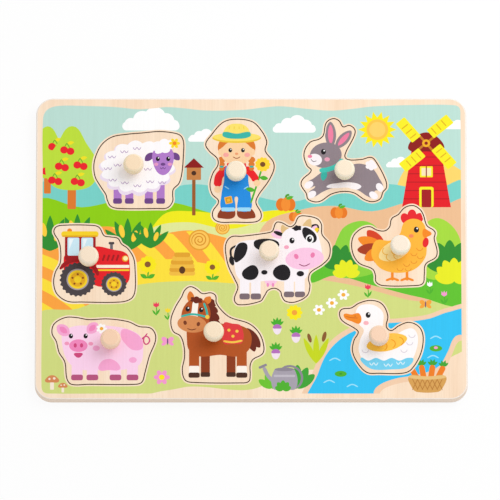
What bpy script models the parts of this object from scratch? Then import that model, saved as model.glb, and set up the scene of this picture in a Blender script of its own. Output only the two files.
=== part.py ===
"""A wooden knob puzzle: nine farm pieces lying in a thin two-layer board, each lifted out by a turned knob.

Metres, +Z up. The origin is on the underside at the middle of the board. +X runs along the board's long side
and +Y towards the top of its picture. A backing sheet is glued under a picture sheet, and the nine pieces are
sawn out of that picture sheet, so they lie flush with it in their cut-outs.
"""
import math

import bpy
from mathutils import Vector
from mathutils.geometry import interpolate_bezier

MM = 0.001

# The board: two sheets with the same rounded outline, glued together
BOARD_LENGTH = 300 * MM
BOARD_WIDTH = 220 * MM
CORNER_RADIUS = 12 * MM
CORNER_STEPS = 6
BACKING_THICKNESS = 2.7 * MM
PICTURE_THICKNESS = 5 * MM
GLUE_LINE = 0.3 * MM

# The saw cut left all round each piece
SAW_CUT = 0.5 * MM

# The turned knobs: a flat-topped ball on a short neck, with a spigot glued into its piece
KNOB_HEIGHT = 13.7 * MM
KNOB_DIAMETER = 14.2 * MM
KNOB_TOP_DIAMETER = 9.4 * MM
KNOB_NECK_DIAMETER = 8.2 * MM
KNOB_NECK_HEIGHT = 1.2 * MM
KNOB_SHOULDER = 4.2 * MM
SPIGOT_DIAMETER = 6 * MM
SPIGOT_RECESS = 0.4 * MM
SEAT_GAP = 0.3 * MM
BORE_CLEARANCE = 0.3 * MM
KNOB_STEPS = 20
ROUND_STEPS = 4

# Longest stretch between two points of a sawn outline
OUTLINE_STEP = 2.4 * MM

# The pieces lie on a grid of three columns and three rows, which spreads with the board
COLUMN_PITCH = BOARD_LENGTH / 3
ROW_PITCH = BOARD_WIDTH / 3

BIRCH = (0.84, 0.66, 0.49)
BEECH = (0.86, 0.70, 0.52)

# Each piece: its column and row, how far its middle lies from the middle of that cell, where its knob stands
# from its own middle, the main colour printed on it, and its outline. An outline is a closed smooth curve
# through a few points, anticlockwise, from the piece's middle. All of these are in millimetres.
PIECES = {
    "sheep": {
        "cell": (-1, 1),
        "nudge": (21.5, -16),
        "knob": (-3.5, 1),
        "colour": (0.88, 0.80, 0.86),
        "outline": [
            (3, 27), (-8, 26), (-18.5, 24), (-25.5, 18.5), (-29.5, 10.5), (-31, 3), (-30, -5), (-26.5, -11.5),
            (-22.5, -18), (-21.5, -22), (-19, -26.5), (-13, -28), (13.5, -28), (20, -27.5), (23.5, -23),
            (23.5, -18), (24, -14), (28, -9.5), (30, -1.5), (31, 12), (31, 20.5), (29, 25), (24, 27), (14, 28),
        ],
    },
    "farmer": {
        "cell": (0, 1),
        "nudge": (-8, -16.5),
        "knob": (-2.5, -3.5),
        "colour": (0.04, 0.28, 0.70),
        "outline": [
            (-4, 37.5), (-12, 35), (-20, 25.5), (-23.5, 19.5), (-21, 14.5), (-15.5, 9), (-15, 4), (-18.5, -2),
            (-20.5, -10), (-19, -17), (-14.5, -22.5), (-18.5, -30), (-18, -35), (-13.5, -37.5), (-4, -37.5),
            (9.5, -37.5), (14, -35.5), (14.5, -31), (11, -23.5), (13, -17.5), (19.5, -8), (23.5, 1), (23, 6.5),
            (17.5, 14.5), (18.5, 21.5), (14, 30.5), (8, 36),
        ],
    },
    "rabbit": {
        "cell": (1, 1),
        "nudge": (-35.5, -9),
        "knob": (0.5, -10),
        "colour": (0.28, 0.24, 0.26),
        "outline": [
            (-7.5, 30.5), (-12, 27.5), (-14, 18.5), (-17, 15.5), (-23.5, 13), (-27.5, 5), (-25.5, -3.5),
            (-22.5, -7.5), (-28.5, -14), (-29.5, -18), (-26, -24), (-24.5, -28.5), (-17.5, -30), (-9, -24.5),
            (-1, -22.5), (7, -23.5), (14.5, -28.5), (20, -30), (25, -28), (27, -23), (29.5, -19.5), (28.5, -13.5),
            (22.5, -1.5), (19, 2), (12.5, 0.5), (2.5, 0.5), (0.5, 4), (7, 18), (7.5, 22.5), (4, 25.5),
            (-0.5, 24.5), (-3.5, 29),
        ],
    },
    "tractor": {
        "cell": (-1, 0),
        "nudge": (-9, -11),
        "knob": (-4, 2),
        "colour": (0.84, 0.04, 0.03),
        "outline": [
            (-27, 26), (-28, 22.5), (-25, 17), (-23.5, 11.5), (-23.5, 0.5), (-27, -7), (-28, -15), (-25.5, -22.5),
            (-18.5, -27.5), (-9, -28), (18, -28), (25.5, -25.5), (28, -20), (28, -5), (27, 3.5), (23, 10.5),
            (18.5, 14), (16, 18), (11, 19), (6.5, 20), (3, 26), (-2, 27.5), (-23, 27.5),
        ],
    },
    "cow": {
        "cell": (0, 0),
        "nudge": (18.5, -9),
        "knob": (-6, 4),
        "colour": (0.90, 0.86, 0.88),
        "outline": [
            (-35.5, 2), (-33.5, -5.5), (-29.5, -14), (-27.5, -19.5), (-30, -28.5), (-27, -32), (-12.5, -29.5),
            (-9.5, -25.5), (-7, -21.5), (-2, -20), (2, -22.5), (3, -26), (5.5, -29.5), (12, -30), (20, -25.5),
            (22, -18.5), (21, -13.5), (22.5, -8.5), (31, -2.5), (35.5, 3), (35.5, 12), (30.5, 19), (30, 26.5),
            (27, 30.5), (18, 32.5), (14.5, 31.5), (12, 26.5), (8.5, 24.5), (2.5, 27.5), (-1, 27.5), (-3.5, 21.5),
            (-7, 20), (-25, 17.5), (-32.5, 17), (-36, 11.5),
        ],
    },
    "hen": {
        "cell": (1, 0),
        "nudge": (-0.5, 2),
        "knob": (4, -3),
        "colour": (1.00, 0.55, 0.07),
        "outline": [
            (13, 29), (7.5, 27.5), (3, 22.5), (-1.5, 19.5), (-3, 13.5), (-6.5, 10.5), (-12, 11), (-17, 13.5),
            (-23, 12), (-28.5, 6), (-29, -4), (-24.5, -12.5), (-15, -17), (-13, -21.5), (-12.5, -26.5), (-8, -29),
            (14, -29), (19.5, -27.5), (20.5, -21.5), (21.5, -13.5), (28.5, -8.5), (29.5, -4), (27.5, 5), (28, 10),
            (22.5, 14.5), (20, 22.5), (17.5, 26.5),
        ],
    },
    "pig": {
        "cell": (-1, -1),
        "nudge": (-2.5, -1.5),
        "knob": (5, 5.5),
        "colour": (0.95, 0.62, 0.83),
        "outline": [
            (-26.5, 24), (-34, 19.5), (-35.5, 13), (-32.5, 7), (-30.5, -1), (-26.5, -8), (-25, -20), (-22, -24),
            (-10.5, -24), (22, -24), (26.5, -22.5), (28.5, -16), (31.5, -4), (36, 9), (33, 16), (24.5, 17.5),
            (17, 21), (3, 23), (-10.5, 22.5), (-19, 24),
        ],
    },
    "horse": {
        "cell": (0, -1),
        "nudge": (-23.5, 10),
        "knob": (-2.5, -0.5),
        "colour": (0.46, 0.09, 0.02),
        "outline": [
            (-19, 35), (-22.5, 32.5), (-24.5, 28), (-29, 20), (-32, 11), (-30.5, 3), (-25.5, -0.5), (-23, -7.5),
            (-22.5, -16), (-24, -25), (-22.5, -32), (-18.5, -34), (16, -34.5), (21.5, -33.5), (22.5, -29),
            (22.5, -22), (24.5, -17.5), (31, -13.5), (32, -8.5), (29, 1), (22, 8), (9, 12.5), (3, 17.5),
            (-1, 23.5), (-1.5, 28.5), (-4.5, 30.5), (-10.5, 30), (-15, 33.5),
        ],
    },
    "duck": {
        "cell": (1, -1),
        "nudge": (-9.5, 9),
        "knob": (-2, -2.5),
        "colour": (0.92, 0.86, 0.84),
        "outline": [
            (-27, 11.5), (-18.5, 6), (-16, 3), (-19, -3), (-20, -11), (-16, -20), (-10, -26), (-2, -26.5),
            (14, -26.5), (20, -24), (26.5, -13), (28.5, -1), (26, 6.5), (19, 10), (12, 7.5), (6.5, 4), (3, 7),
            (4, 15), (0, 23.5), (-7.5, 26), (-15.5, 24), (-21, 20.5), (-27.5, 19.5), (-29, 16),
        ],
    },
}


def clear_scene():
    for obj in list(bpy.data.objects):
        bpy.data.objects.remove(obj, do_unlink=True)


def add_material(name, colour, roughness):
    material = bpy.data.materials.new(name)
    material.use_nodes = True
    shader = material.node_tree.nodes["Principled BSDF"]
    shader.inputs["Base Color"].default_value = (*colour, 1)
    shader.inputs["Roughness"].default_value = roughness
    shader.inputs["Metallic"].default_value = 0
    material.diffuse_color = (*colour, 1)
    return material


def smooth_outline(points):
    """A closed curve through the points: each handle runs along the line between its point's neighbours,
    a third as long as the span that it faces."""
    points = [Vector(point) * MM for point in points]
    count = len(points)
    along = [(points[(i + 1) % count] - points[i - 1]).normalized() for i in range(count)]
    outline = []
    for i, start in enumerate(points):
        end = points[(i + 1) % count]
        span = (end - start).length
        leaving = start + along[i] * span / 3
        arriving = end - along[(i + 1) % count] * span / 3
        steps = max(2, math.ceil(span / OUTLINE_STEP))
        outline += interpolate_bezier(start, leaving, arriving, end, steps + 1)[:-1]
    return [Vector((point.x, point.y)) for point in outline]


def grown(outline, distance):
    """The anticlockwise outline moved outwards by the same distance everywhere."""
    moved = []
    for i, point in enumerate(outline):
        before = (point - outline[i - 1]).normalized()
        after = (outline[(i + 1) % len(outline)] - point).normalized()
        outward = Vector((before.y + after.y, -before.x - after.x)).normalized()
        moved.append(point + outward * distance / outward.dot(Vector((after.y, -after.x))))
    return moved


def rounded_rectangle(length, width, radius):
    outline = []
    corners = ((1, 1), (-1, 1), (-1, -1), (1, -1))
    for quarter, (side_x, side_y) in enumerate(corners):
        middle = Vector((side_x * (length / 2 - radius), side_y * (width / 2 - radius)))
        for step in range(CORNER_STEPS + 1):
            angle = math.radians(90) * (quarter + step / CORNER_STEPS)
            outline.append(middle + radius * Vector((math.cos(angle), math.sin(angle))))
    return outline


def circle(middle, radius):
    angles = [math.tau * step / KNOB_STEPS for step in range(KNOB_STEPS)]
    return [middle + radius * Vector((math.cos(angle), math.sin(angle))) for angle in angles]


def add_sheet(name, edge, holes, thickness, place, material):
    """Flat sheet with its own middle at place: edge is its outline and holes are cut right through it."""
    curve = bpy.data.curves.new(name, "CURVE")
    curve.dimensions = "2D"
    curve.fill_mode = "BOTH"
    curve.extrude = thickness / 2
    clockwise_holes = [hole[::-1] for hole in holes]
    for outline in [edge, *clockwise_holes]:
        spline = curve.splines.new("POLY")
        spline.points.add(len(outline) - 1)
        for point, (x, y) in zip(spline.points, outline):
            point.co = (x, y, 0, 1)
        spline.use_cyclic_u = True
    curve.materials.append(material)
    sheet = bpy.data.objects.new(name, curve)
    sheet.location = place
    return sheet


def knob_profile():
    """Half outline of a knob from the top of its axis down to the foot of its spigot. Height 0 is its seat.
    A quarter ellipse rounds the rim of the flat top, and the cone below narrows to the neck by a cosine."""
    rim, widest, neck = KNOB_TOP_DIAMETER / 2, KNOB_DIAMETER / 2, KNOB_NECK_DIAMETER / 2
    shoulder_foot = KNOB_HEIGHT - KNOB_SHOULDER
    spigot_foot = SPIGOT_RECESS - PICTURE_THICKNESS - SEAT_GAP
    profile = [(0, KNOB_HEIGHT)]
    for step in range(ROUND_STEPS + 1):
        angle = math.radians(90) * step / ROUND_STEPS
        height = shoulder_foot + KNOB_SHOULDER * math.cos(angle)
        profile.append((rim + (widest - rim) * math.sin(angle), height))
    for step in range(1, ROUND_STEPS + 1):
        share = step / ROUND_STEPS
        height = shoulder_foot + (KNOB_NECK_HEIGHT - shoulder_foot) * share
        profile.append((neck + (widest - neck) * math.cos(math.radians(90) * share), height))
    profile += [(neck, 0), (SPIGOT_DIAMETER / 2, 0), (SPIGOT_DIAMETER / 2, spigot_foot), (0, spigot_foot)]
    return profile


def add_knob(name, place, material):
    """The profile turned about the knob's own upright axis."""
    profile = knob_profile()
    mesh = bpy.data.meshes.new(name)
    corners = [(radius, 0, height) for radius, height in profile]
    mesh.from_pydata(corners, [(i, i + 1) for i in range(len(corners) - 1)], [])
    mesh.materials.append(material)
    knob = bpy.data.objects.new(name, mesh)
    knob.location = place
    turned = knob.modifiers.new("Turned", "SCREW")
    turned.axis = "Z"
    turned.steps = KNOB_STEPS
    turned.render_steps = KNOB_STEPS
    turned.use_merge_vertices = True
    turned.merge_threshold = 0.01 * MM
    turned.use_smooth_shade = True
    return knob


def build_puzzle():
    puzzle = bpy.data.collections.new("wooden_animal_puzzle")
    bpy.context.scene.collection.children.link(puzzle)
    backing_wood = add_material("birch_backing", BIRCH, 0.6)
    picture_print = add_material("printed_birch", (0.66, 0.72, 0.30), 0.45)
    knob_wood = add_material("turned_beech", BEECH, 0.5)

    edge = rounded_rectangle(BOARD_LENGTH, BOARD_WIDTH, CORNER_RADIUS)
    backing_middle = Vector((0, 0, BACKING_THICKNESS / 2))
    puzzle.objects.link(add_sheet("backing_board", edge, [], BACKING_THICKNESS, backing_middle, backing_wood))

    picture_middle = BACKING_THICKNESS + GLUE_LINE + PICTURE_THICKNESS / 2
    cut_outs = []
    for name, piece in PIECES.items():
        column, row = piece["cell"]
        place = Vector((column * COLUMN_PITCH, row * ROW_PITCH)) + Vector(piece["nudge"]) * MM
        outline = smooth_outline(piece["outline"])
        cut_outs.append([place + point for point in grown(outline, SAW_CUT)])
        knob_place = Vector(piece["knob"]) * MM
        bore = circle(knob_place, SPIGOT_DIAMETER / 2 + BORE_CLEARANCE)
        print_colour = add_material(name + "_print", piece["colour"], 0.45)
        middle = Vector((place.x, place.y, picture_middle))
        plate = add_sheet(name + "_piece", outline, [bore], PICTURE_THICKNESS, middle, print_colour)
        puzzle.objects.link(plate)
        seat = Vector((knob_place.x, knob_place.y, PICTURE_THICKNESS / 2 + SEAT_GAP))
        knob = add_knob(name + "_knob", seat, knob_wood)
        knob.parent = plate
        puzzle.objects.link(knob)

    frame_middle = Vector((0, 0, picture_middle))
    puzzle.objects.link(add_sheet("frame_plate", edge, cut_outs, PICTURE_THICKNESS, frame_middle, picture_print))


clear_scene()
build_puzzle()
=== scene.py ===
"""A wooden knob puzzle: a printed birch board with nine farm pieces that lift out by turned knobs."""
import math

import bmesh
import bpy
import numpy as np
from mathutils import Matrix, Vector
from mathutils.geometry import delaunay_2d_cdt


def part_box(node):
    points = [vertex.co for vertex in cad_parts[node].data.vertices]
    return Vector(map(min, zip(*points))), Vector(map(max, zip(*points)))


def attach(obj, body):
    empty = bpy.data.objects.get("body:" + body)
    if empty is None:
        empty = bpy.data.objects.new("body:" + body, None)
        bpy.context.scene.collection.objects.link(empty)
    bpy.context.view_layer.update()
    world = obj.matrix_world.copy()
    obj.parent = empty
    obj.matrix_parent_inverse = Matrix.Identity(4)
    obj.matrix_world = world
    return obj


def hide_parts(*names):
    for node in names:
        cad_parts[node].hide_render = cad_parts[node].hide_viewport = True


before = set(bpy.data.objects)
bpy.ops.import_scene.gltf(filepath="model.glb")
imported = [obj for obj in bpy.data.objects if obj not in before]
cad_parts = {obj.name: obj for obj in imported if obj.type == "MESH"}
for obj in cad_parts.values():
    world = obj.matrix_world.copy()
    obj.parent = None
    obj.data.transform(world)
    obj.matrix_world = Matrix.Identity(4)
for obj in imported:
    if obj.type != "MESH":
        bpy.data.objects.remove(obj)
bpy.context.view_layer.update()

# Backing sheet
# A thin sheet of birch plywood, 300 by 220 mm, with its corners rounded to 12 mm. It is sawn, sanded and
# glued under the picture sheet, and its bare face is the floor of the nine cut-outs.

MM = 0.001
BOARD_SIZE = np.array([300.0, 220.0])
CORNER_RADIUS = 12.0
CORNER_STEPS = 24
BACKING_TOP = 2.9
SANDED_EDGE, GLUED_EDGE = 0.9, 0.05
ROUND_STEPS = 5
SNAP, SLACK = 0.001, 0.01
# The part of the square map that each side of a sheet takes: its left, foot, width and height
MAP_TOP = (0.01, 0.01, 0.98, 0.71)
MAP_UNDERSIDE = (0.01, 0.74, 0.3, 0.25)
MAP_EDGES = (0.34, 0.74, 0.64, 0.25)
MAP_GAP = 0.1


def linear(code):
    """A printed colour, given as six hex digits, in scene linear numbers."""
    share = np.array([int(code[i:i + 2], 16) for i in (0, 2, 4)]) / 255
    return np.where(share < 0.04045, share / 12.92, ((share + 0.055) / 1.055) ** 2.4)


def circled(angle, wide=1, high=None):
    """Points about the origin: wide times the cosine, and high or else wide times the sine, of the angle."""
    return np.stack([wide * np.cos(angle), (wide if high is None else high) * np.sin(angle)], -1)


def unit(vectors):
    """The vectors, each brought to a length of one."""
    return vectors / np.linalg.norm(vectors, axis=1, keepdims=True)


def rounded_rectangle(size, radius, steps):
    """Anticlockwise outline: each corner is a quarter circle about its own middle, whose angle runs on by a
    right angle from corner to corner."""
    angle = np.linspace(0, math.pi / 2, steps + 1) + np.arange(4)[:, None] * math.pi / 2
    side = np.array([(1, 1), (-1, 1), (-1, -1), (1, -1)])
    middle = side * (size / 2 - radius)
    return (middle[:, None] + circled(angle, radius)).reshape(-1, 2)


def moved_out(outline, distance):
    """Each point moves to the right of the way the outline runs, along the line that halves its corner and
    by the distance over the cosine of half the turn there, so each edge moves by the same distance."""
    after = unit(np.roll(outline, -1, 0) - outline)
    right = np.stack([after[:, 1], -after[:, 0]], 1)
    halving = unit(right + np.roll(right, 1, 0))
    return outline + halving * distance / (halving * right).sum(1, keepdims=True)


def edge_profile(low, high, top_radius, foot_radius):
    """(step out, height) from the top face down to the underside: a quarter circle at each end of a plumb
    wall, so the step out is the radius times sine less one, and the height the radius times cosine."""
    turn = np.linspace(0, math.pi / 2, ROUND_STEPS)
    top = np.stack([top_radius * (np.sin(turn) - 1), high - top_radius * (1 - np.cos(turn))], 1)
    foot = np.stack([foot_radius * (np.cos(turn) - 1), low + foot_radius * (1 - np.sin(turn))], 1)
    return np.concatenate([top, foot])


def lengths_along(points):
    """Share of a line's whole length passed at each of its points."""
    passed = np.concatenate([[0], np.cumsum(np.linalg.norm(np.diff(points, axis=0), axis=1))])
    return passed / passed[-1]


def ring_quads(rows, columns):
    """Quads between neighbouring rows of points, each row closed, that face to the right of its run."""
    index = np.arange(rows * columns).reshape(rows, columns)
    ahead = np.roll(index, -1, 1)
    return np.stack([index[:-1], index[1:], ahead[1:], ahead[:-1]], -1).reshape(-1, 4)


def wall_grid(outline, profile):
    """The profile carried round the closed outline: row i is the outline moved out by profile i's step, at
    profile i's height. Returns its points, its quads, and the quads' corners on a strip whose sides are the
    way round and the way down."""
    rows = np.stack([moved_out(outline, step) for step, height in profile])
    heights = np.broadcast_to(profile[:, 1][:, None, None], rows.shape[:2] + (1,))
    strip = np.stack(np.meshgrid(lengths_along(np.vstack([outline, outline[:1]])),
                                 1 - lengths_along(profile)), -1)
    corners = np.stack([strip[:-1, :-1], strip[1:, :-1], strip[1:, 1:], strip[:-1, 1:]], 2)
    points = np.concatenate([rows, heights], -1).reshape(-1, 3)
    return points, ring_quads(*rows.shape[:2]), corners.reshape(-1, 2)


def fitted(places, left, foot, wide, high):
    """Flat places, scaled alike both ways and moved so that they just fit one part of the square map."""
    low = places.min(0)
    return (places - low) * min(np.array([wide, high]) / (places.max(0) - low)) + (left, foot)


def times_round(points, outline):
    """How often the closed outline runs round each point: an edge that passes a point's level upwards on
    its right counts one, and one that passes it downwards there takes one off."""
    x, y = points[:, :1], points[:, 1:]
    (ax, ay), (bx, by) = outline.T, np.roll(outline, -1, 0).T
    side = (bx - ax) * (y - ay) - (x - ax) * (by - ay)
    return ((ay <= y) & (by > y) & (side > 0)).sum(1) - ((by <= y) & (ay > y) & (side < 0)).sum(1)


def inside(points, outline):
    """Which points the outline runs round, tested only for those within its box."""
    near = ((points >= outline.min(0)) & (points <= outline.max(0))).all(1)
    near[near] = times_round(points[near], outline) != 0
    return near


def plane_cut(points, edges):
    """Triangles over the flat points in which every given edge is an edge."""
    corners = [Vector(point) for point in points.tolist()]
    cut = delaunay_2d_cdt(corners, edges.tolist(), [], 0, SNAP)
    given = np.array([len(sources) > 0 for sources in cut[4]])
    return np.array([tuple(point) for point in cut[0]]), np.array(cut[1])[given], np.array(cut[2])


def chained(outlines):
    """All the outlines' points in one array, and the edges that close each outline."""
    sizes = [len(outline) for outline in outlines]
    starts = np.cumsum([0] + sizes[:-1])
    runs = [start + np.arange(size) for start, size in zip(starts, sizes)]
    edges = np.concatenate([np.stack([run, np.roll(run, -1)], 1) for run in runs])
    return np.concatenate(outlines), edges


def flat_face(rims, layers=(), area=None, gaps=()):
    """The flat face inside the first rim and outside the others, cut along the edges of all its inked
    shapes. Each triangle takes the ink of the last shape over its middle, and stays bare outside the
    printed area and inside a gap. Returns points, triangles and each triangle's ink with its cover."""
    rim_points, rim_edges = chained(rims)
    points, edges = rim_points, rim_edges
    if layers:
        shapes = [area, *gaps] + [outline for ink, outline in layers]
        crossed, given, _ = plane_cut(*chained(shapes))
        middle = crossed[given].mean(1)
        kept = inside(middle, moved_out(area, SLACK))
        for gap in gaps:
            kept &= ~inside(middle, moved_out(gap, -SLACK))
        used, renumbered = np.unique(given[kept], return_inverse=True)
        points = np.concatenate([rim_points, crossed[used]])
        edges = np.concatenate([rim_edges, len(rim_points) + renumbered.reshape(-1, 2)])
    points, _, triangles = plane_cut(points, edges)
    middle = points[triangles].mean(1)
    solid = inside(middle, rims[0])
    for hole in rims[1:]:
        solid &= ~inside(middle, hole)
    triangles, middle = triangles[solid], middle[solid]
    ink = np.zeros((len(triangles), 4))
    for colour, outline in layers:
        ink[inside(middle, outline)] = colour
    if layers:
        bare = ~inside(middle, area)
        for gap in gaps:
            bare |= inside(middle, gap)
        ink[bare, 3] = 0
    return points, triangles, ink


def sheet_mesh(name, loops, profiles, materials, **picture):
    """A closed flat body: a printed top face, an underside, and a profile carried round every loop. The
    first loop is the outer edge, anticlockwise, and the others are holes, clockwise. The profiles are
    those of the outer edge and of the holes, and the materials those of the top, the underside, the outer
    edge and the holes."""
    profiles = [profiles[0]] + [profiles[-1]] * (len(loops) - 1)
    corners, faces, inks, slots, places = [], [], [], [], []
    count = 0
    for end, part, printing in ((0, MAP_TOP, picture), (-1, MAP_UNDERSIDE, {})):
        rims = [moved_out(loop, edge[end, 0]) for loop, edge in zip(loops, profiles)]
        points, triangles, ink = flat_face(rims, **printing)
        triangles = triangles[:, ::-1] if end else triangles
        corners.append(np.column_stack([points, np.full(len(points), profiles[0][end, 1])]))
        faces += (triangles + count).tolist()
        inks.append(np.repeat(ink, 3, 0))
        slots += [-end] * len(triangles)
        places.append(fitted(points[triangles].reshape(-1, 2), *part))
        count += len(points)
    left, foot, wide, high = MAP_EDGES
    strip = high / len(loops)
    for number, (loop, edge) in enumerate(zip(loops, profiles)):
        points, quads, unrolled = wall_grid(loop, edge)
        corners.append(points)
        faces += (quads + count).tolist()
        inks.append(np.zeros((quads.size, 4)))
        slots += [min(2 + number, 3)] * len(quads)
        low = foot + strip * (number + MAP_GAP)
        places.append(unrolled * (wide, strip * (1 - 2 * MAP_GAP)) + (left, low))
        count += len(points)
    mesh = bpy.data.meshes.new(name)
    mesh.from_pydata(np.concatenate(corners) * MM, [], faces)
    for material in materials:
        mesh.materials.append(material)
    slots = np.array(slots)
    mesh.polygons.foreach_set("material_index", slots)
    mesh.polygons.foreach_set("use_smooth", slots > 1)
    ink_layer = mesh.color_attributes.new("ink", "FLOAT_COLOR", "CORNER")
    ink_layer.data.foreach_set("color", np.concatenate(inks).ravel())
    mesh.uv_layers.new(name="OFBake").data.foreach_set("uv", np.concatenate(places).ravel())
    return closed(mesh)


def closed(mesh):
    """Welds the points that the mesh's surfaces share."""
    work = bmesh.new()
    work.from_mesh(mesh)
    bmesh.ops.remove_doubles(work, verts=work.verts, dist=SNAP * MM * 2)
    work.to_mesh(mesh)
    work.free()
    return mesh


def add_piece(mesh, body, slot, *nodes):
    """Puts the finished mesh in the scene on its body, in place of its CAD nodes."""
    piece = bpy.data.objects.new(mesh.name, mesh)
    bpy.context.scene.collection.objects.link(piece)
    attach(piece, body)
    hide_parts(*nodes)


def new_material(name, roughness, gloss=0.5):
    """A material with its node tree and shader. The gloss is its specular level."""
    material = bpy.data.materials.new(name)
    material.use_nodes = True
    shader = material.node_tree.nodes["Principled BSDF"]
    shader.inputs["Roughness"].default_value = roughness
    shader.inputs["Specular IOR Level"].default_value = gloss
    return material, material.node_tree, shader


def add_node(tree, kind, inputs=None, **settings):
    """A shader node with its settings, and its inputs set to values or linked to other nodes' outputs."""
    node = tree.nodes.new("ShaderNode" + kind)
    for key, value in settings.items():
        setattr(node, key, value)
    sockets = {item.name: item for item in reversed(node.inputs)}
    sockets.update((item.identifier, item) for item in node.inputs)
    for key, value in (inputs or {}).items():
        socket = node.inputs[key] if isinstance(key, int) else sockets[key]
        if isinstance(value, bpy.types.NodeSocket):
            tree.links.new(value, socket)
        else:
            socket.default_value = value
    return node


def mixed(tree, share, first, second, blend="MIX"):
    """Two colours blended by the share."""
    inputs = {"Factor_Float": share, "A_Color": first, "B_Color": second}
    node = add_node(tree, "Mix", inputs, data_type="RGBA", blend_type=blend)
    return node.outputs[2]


def shaded(tree, colour, value, *stops):
    """The colour times a ramp over the value."""
    return mixed(tree, 1.0, colour, ramp(tree, value, *stops), "MULTIPLY")


def stretched(tree, place, scale, start=(0, 0, 0)):
    """The place, scaled along each axis and then moved."""
    inputs = {"Vector": place, "Location": start, "Scale": scale}
    return add_node(tree, "Mapping", inputs).outputs[0]


def noise(tree, place, scale, detail):
    """Soft noise about 0.5, with so many steps of finer detail."""
    inputs = {"Vector": place, "Scale": scale, "Detail": detail}
    return add_node(tree, "TexNoise", inputs).outputs["Fac"]


def streaks(tree, place, across, along, detail=3.0, seed=0.0):
    """Noise drawn out along Y: streaks so many millimetres across and along."""
    drawn_out = stretched(tree, place, (1 / across, 1 / along, 1 / across), (seed, seed, 0))
    return noise(tree, drawn_out, 1 / MM, detail)


def sum_of(tree, operation, *values):
    """One step of arithmetic on values or other nodes' outputs."""
    return add_node(tree, "Math", dict(enumerate(values)), operation=operation).outputs[0]


def ramp(tree, value, *stops):
    """A colour ramp through (position, colour) stops."""
    node = add_node(tree, "ValToRGB", {"Fac": value})
    elements = node.color_ramp.elements
    while len(elements) < len(stops):
        elements.new(0.5)
    for element, (position, colour) in zip(elements, stops):
        element.position = position
        element.color = (*colour, 1)
    return node.outputs["Color"]


BIRCH_PALE, BIRCH_DEEP, BIRCH_PORE = linear("FEE7CE"), linear("F9DCBF"), linear("E9C6A2")
PLY_LAYER, LAYER_WANDER = 1.25, 0.12
FULL = (1.0, 1.0, 1.0)


def birch(tree):
    """Birch face veneer with its grain along the board's short side: broad soft figure, fine streaks and
    short dark pores. Returns the wood's colour and its fine streaks."""
    place = add_node(tree, "TexCoord").outputs["Object"]
    figure = streaks(tree, place, 14, 150)
    fine = streaks(tree, place, 1.1, 34, 4.0, 7.0)
    pores = streaks(tree, place, 0.35, 5.0, 2.0, 31.0)
    colour = ramp(tree, figure, (0.32, BIRCH_DEEP), (0.62, BIRCH_PALE))
    colour = shaded(tree, colour, fine, (0.35, (0.955, 0.945, 0.93)), (0.6, FULL))
    pored = ramp(tree, pores, (0.66, (0.0, 0.0, 0.0)), (0.78, (0.55, 0.55, 0.55)))
    return mixed(tree, pored, colour, (*BIRCH_PORE, 1)), fine


def surfaced(tree, shader, colour, height, depth):
    """Gives the shader its colour, and a relief of the given depth in millimetres at half strength."""
    tree.links.new(colour, shader.inputs["Base Color"])
    inputs = {"Height": height, "Strength": 0.5, "Distance": depth * MM}
    bump = add_node(tree, "Bump", inputs)
    tree.links.new(bump.outputs["Normal"], shader.inputs["Normal"])


def sanded_birch():
    """Bare birch, sanded smooth."""
    material, tree, shader = new_material("sanded_birch", 0.62, 0.3)
    colour, fine = birch(tree)
    surfaced(tree, shader, colour, fine, 0.05)
    return material


def ply_edge(name, pale, deep, glue, roughness):
    """The sawn edge of plywood: crossed layers that differ in tone and wander a little, a dark glue line
    between each two, and fine fibres."""
    material, tree, shader = new_material(name, roughness, 0.3)
    place = add_node(tree, "TexCoord").outputs["Object"]
    height = add_node(tree, "SeparateXYZ", {"Vector": place}).outputs["Z"]
    wander = noise(tree, place, 60.0, 2.0)
    shifted = sum_of(tree, "MULTIPLY_ADD", wander, LAYER_WANDER * MM, height)
    layer = sum_of(tree, "DIVIDE", shifted, PLY_LAYER * MM)
    across = sum_of(tree, "FRACT", layer)
    pair = sum_of(tree, "FLOORED_MODULO", layer, 2.0)
    fibres = noise(tree, place, 2400.0, 3.0)
    tone = ramp(tree, pair, (0.0, pale), (0.49, pale), (0.51, deep), (1.0, deep))
    tone = shaded(tree, tone, fibres, (0.3, (0.86, 0.84, 0.82)), (0.65, FULL))
    line = ramp(tree, across, (0.0, FULL), (0.07, (0.9, 0.9, 0.9)), (0.14, (0.0, 0.0, 0.0)))
    tone = mixed(tree, line, tone, (*glue, 1))
    surfaced(tree, shader, tone, fibres, 0.06)
    return material


bare_birch = sanded_birch()
sanded_ply = ply_edge("sanded_ply_edge", linear("FFF4EA"), linear("F6E2CE"), linear("DFC6AE"), 0.7)
board_edge = rounded_rectangle(BOARD_SIZE, CORNER_RADIUS, CORNER_STEPS)
backing_edge = edge_profile(0.0, BACKING_TOP, GLUED_EDGE, SANDED_EDGE)
backing = sheet_mesh("backing_sheet", [board_edge], [backing_edge], [bare_birch, bare_birch, sanded_ply])
add_piece(backing, "board", "birch_backing", "backing_board")

# Picture sheet
# Birch plywood, 5 mm thick, with a farm landscape printed on its face before a fine saw cuts out nine
# pieces. A bare margin is left round the print, and a narrow bare band along each cut.

PICTURE_LOW, PICTURE_TOP = 2.9, 8.0
SAW_CUT = 0.5
BARE_BAND = 1.1
SAWN_EDGE, SAWN_FOOT = 0.12, 0.02
# Steps along a span of the saw's way, a span of a printed curve, a block's corner, an arch, a leaf's side, a
# bump and a furrow
CUT_STEPS, PRINT_STEPS, BLOCK_STEPS, ARCH_STEPS = 8, 6, 4, 30
LEAF_STEPS, BUMP_STEPS, FURROW_STEPS = 12, 8, 80
STROKE_END = 0.98
PETAL_PLACE, PETAL_REACH, PETAL_WIDTH, HEART_SIZE = 0.62, 0.42, 0.3, 0.36


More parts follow.
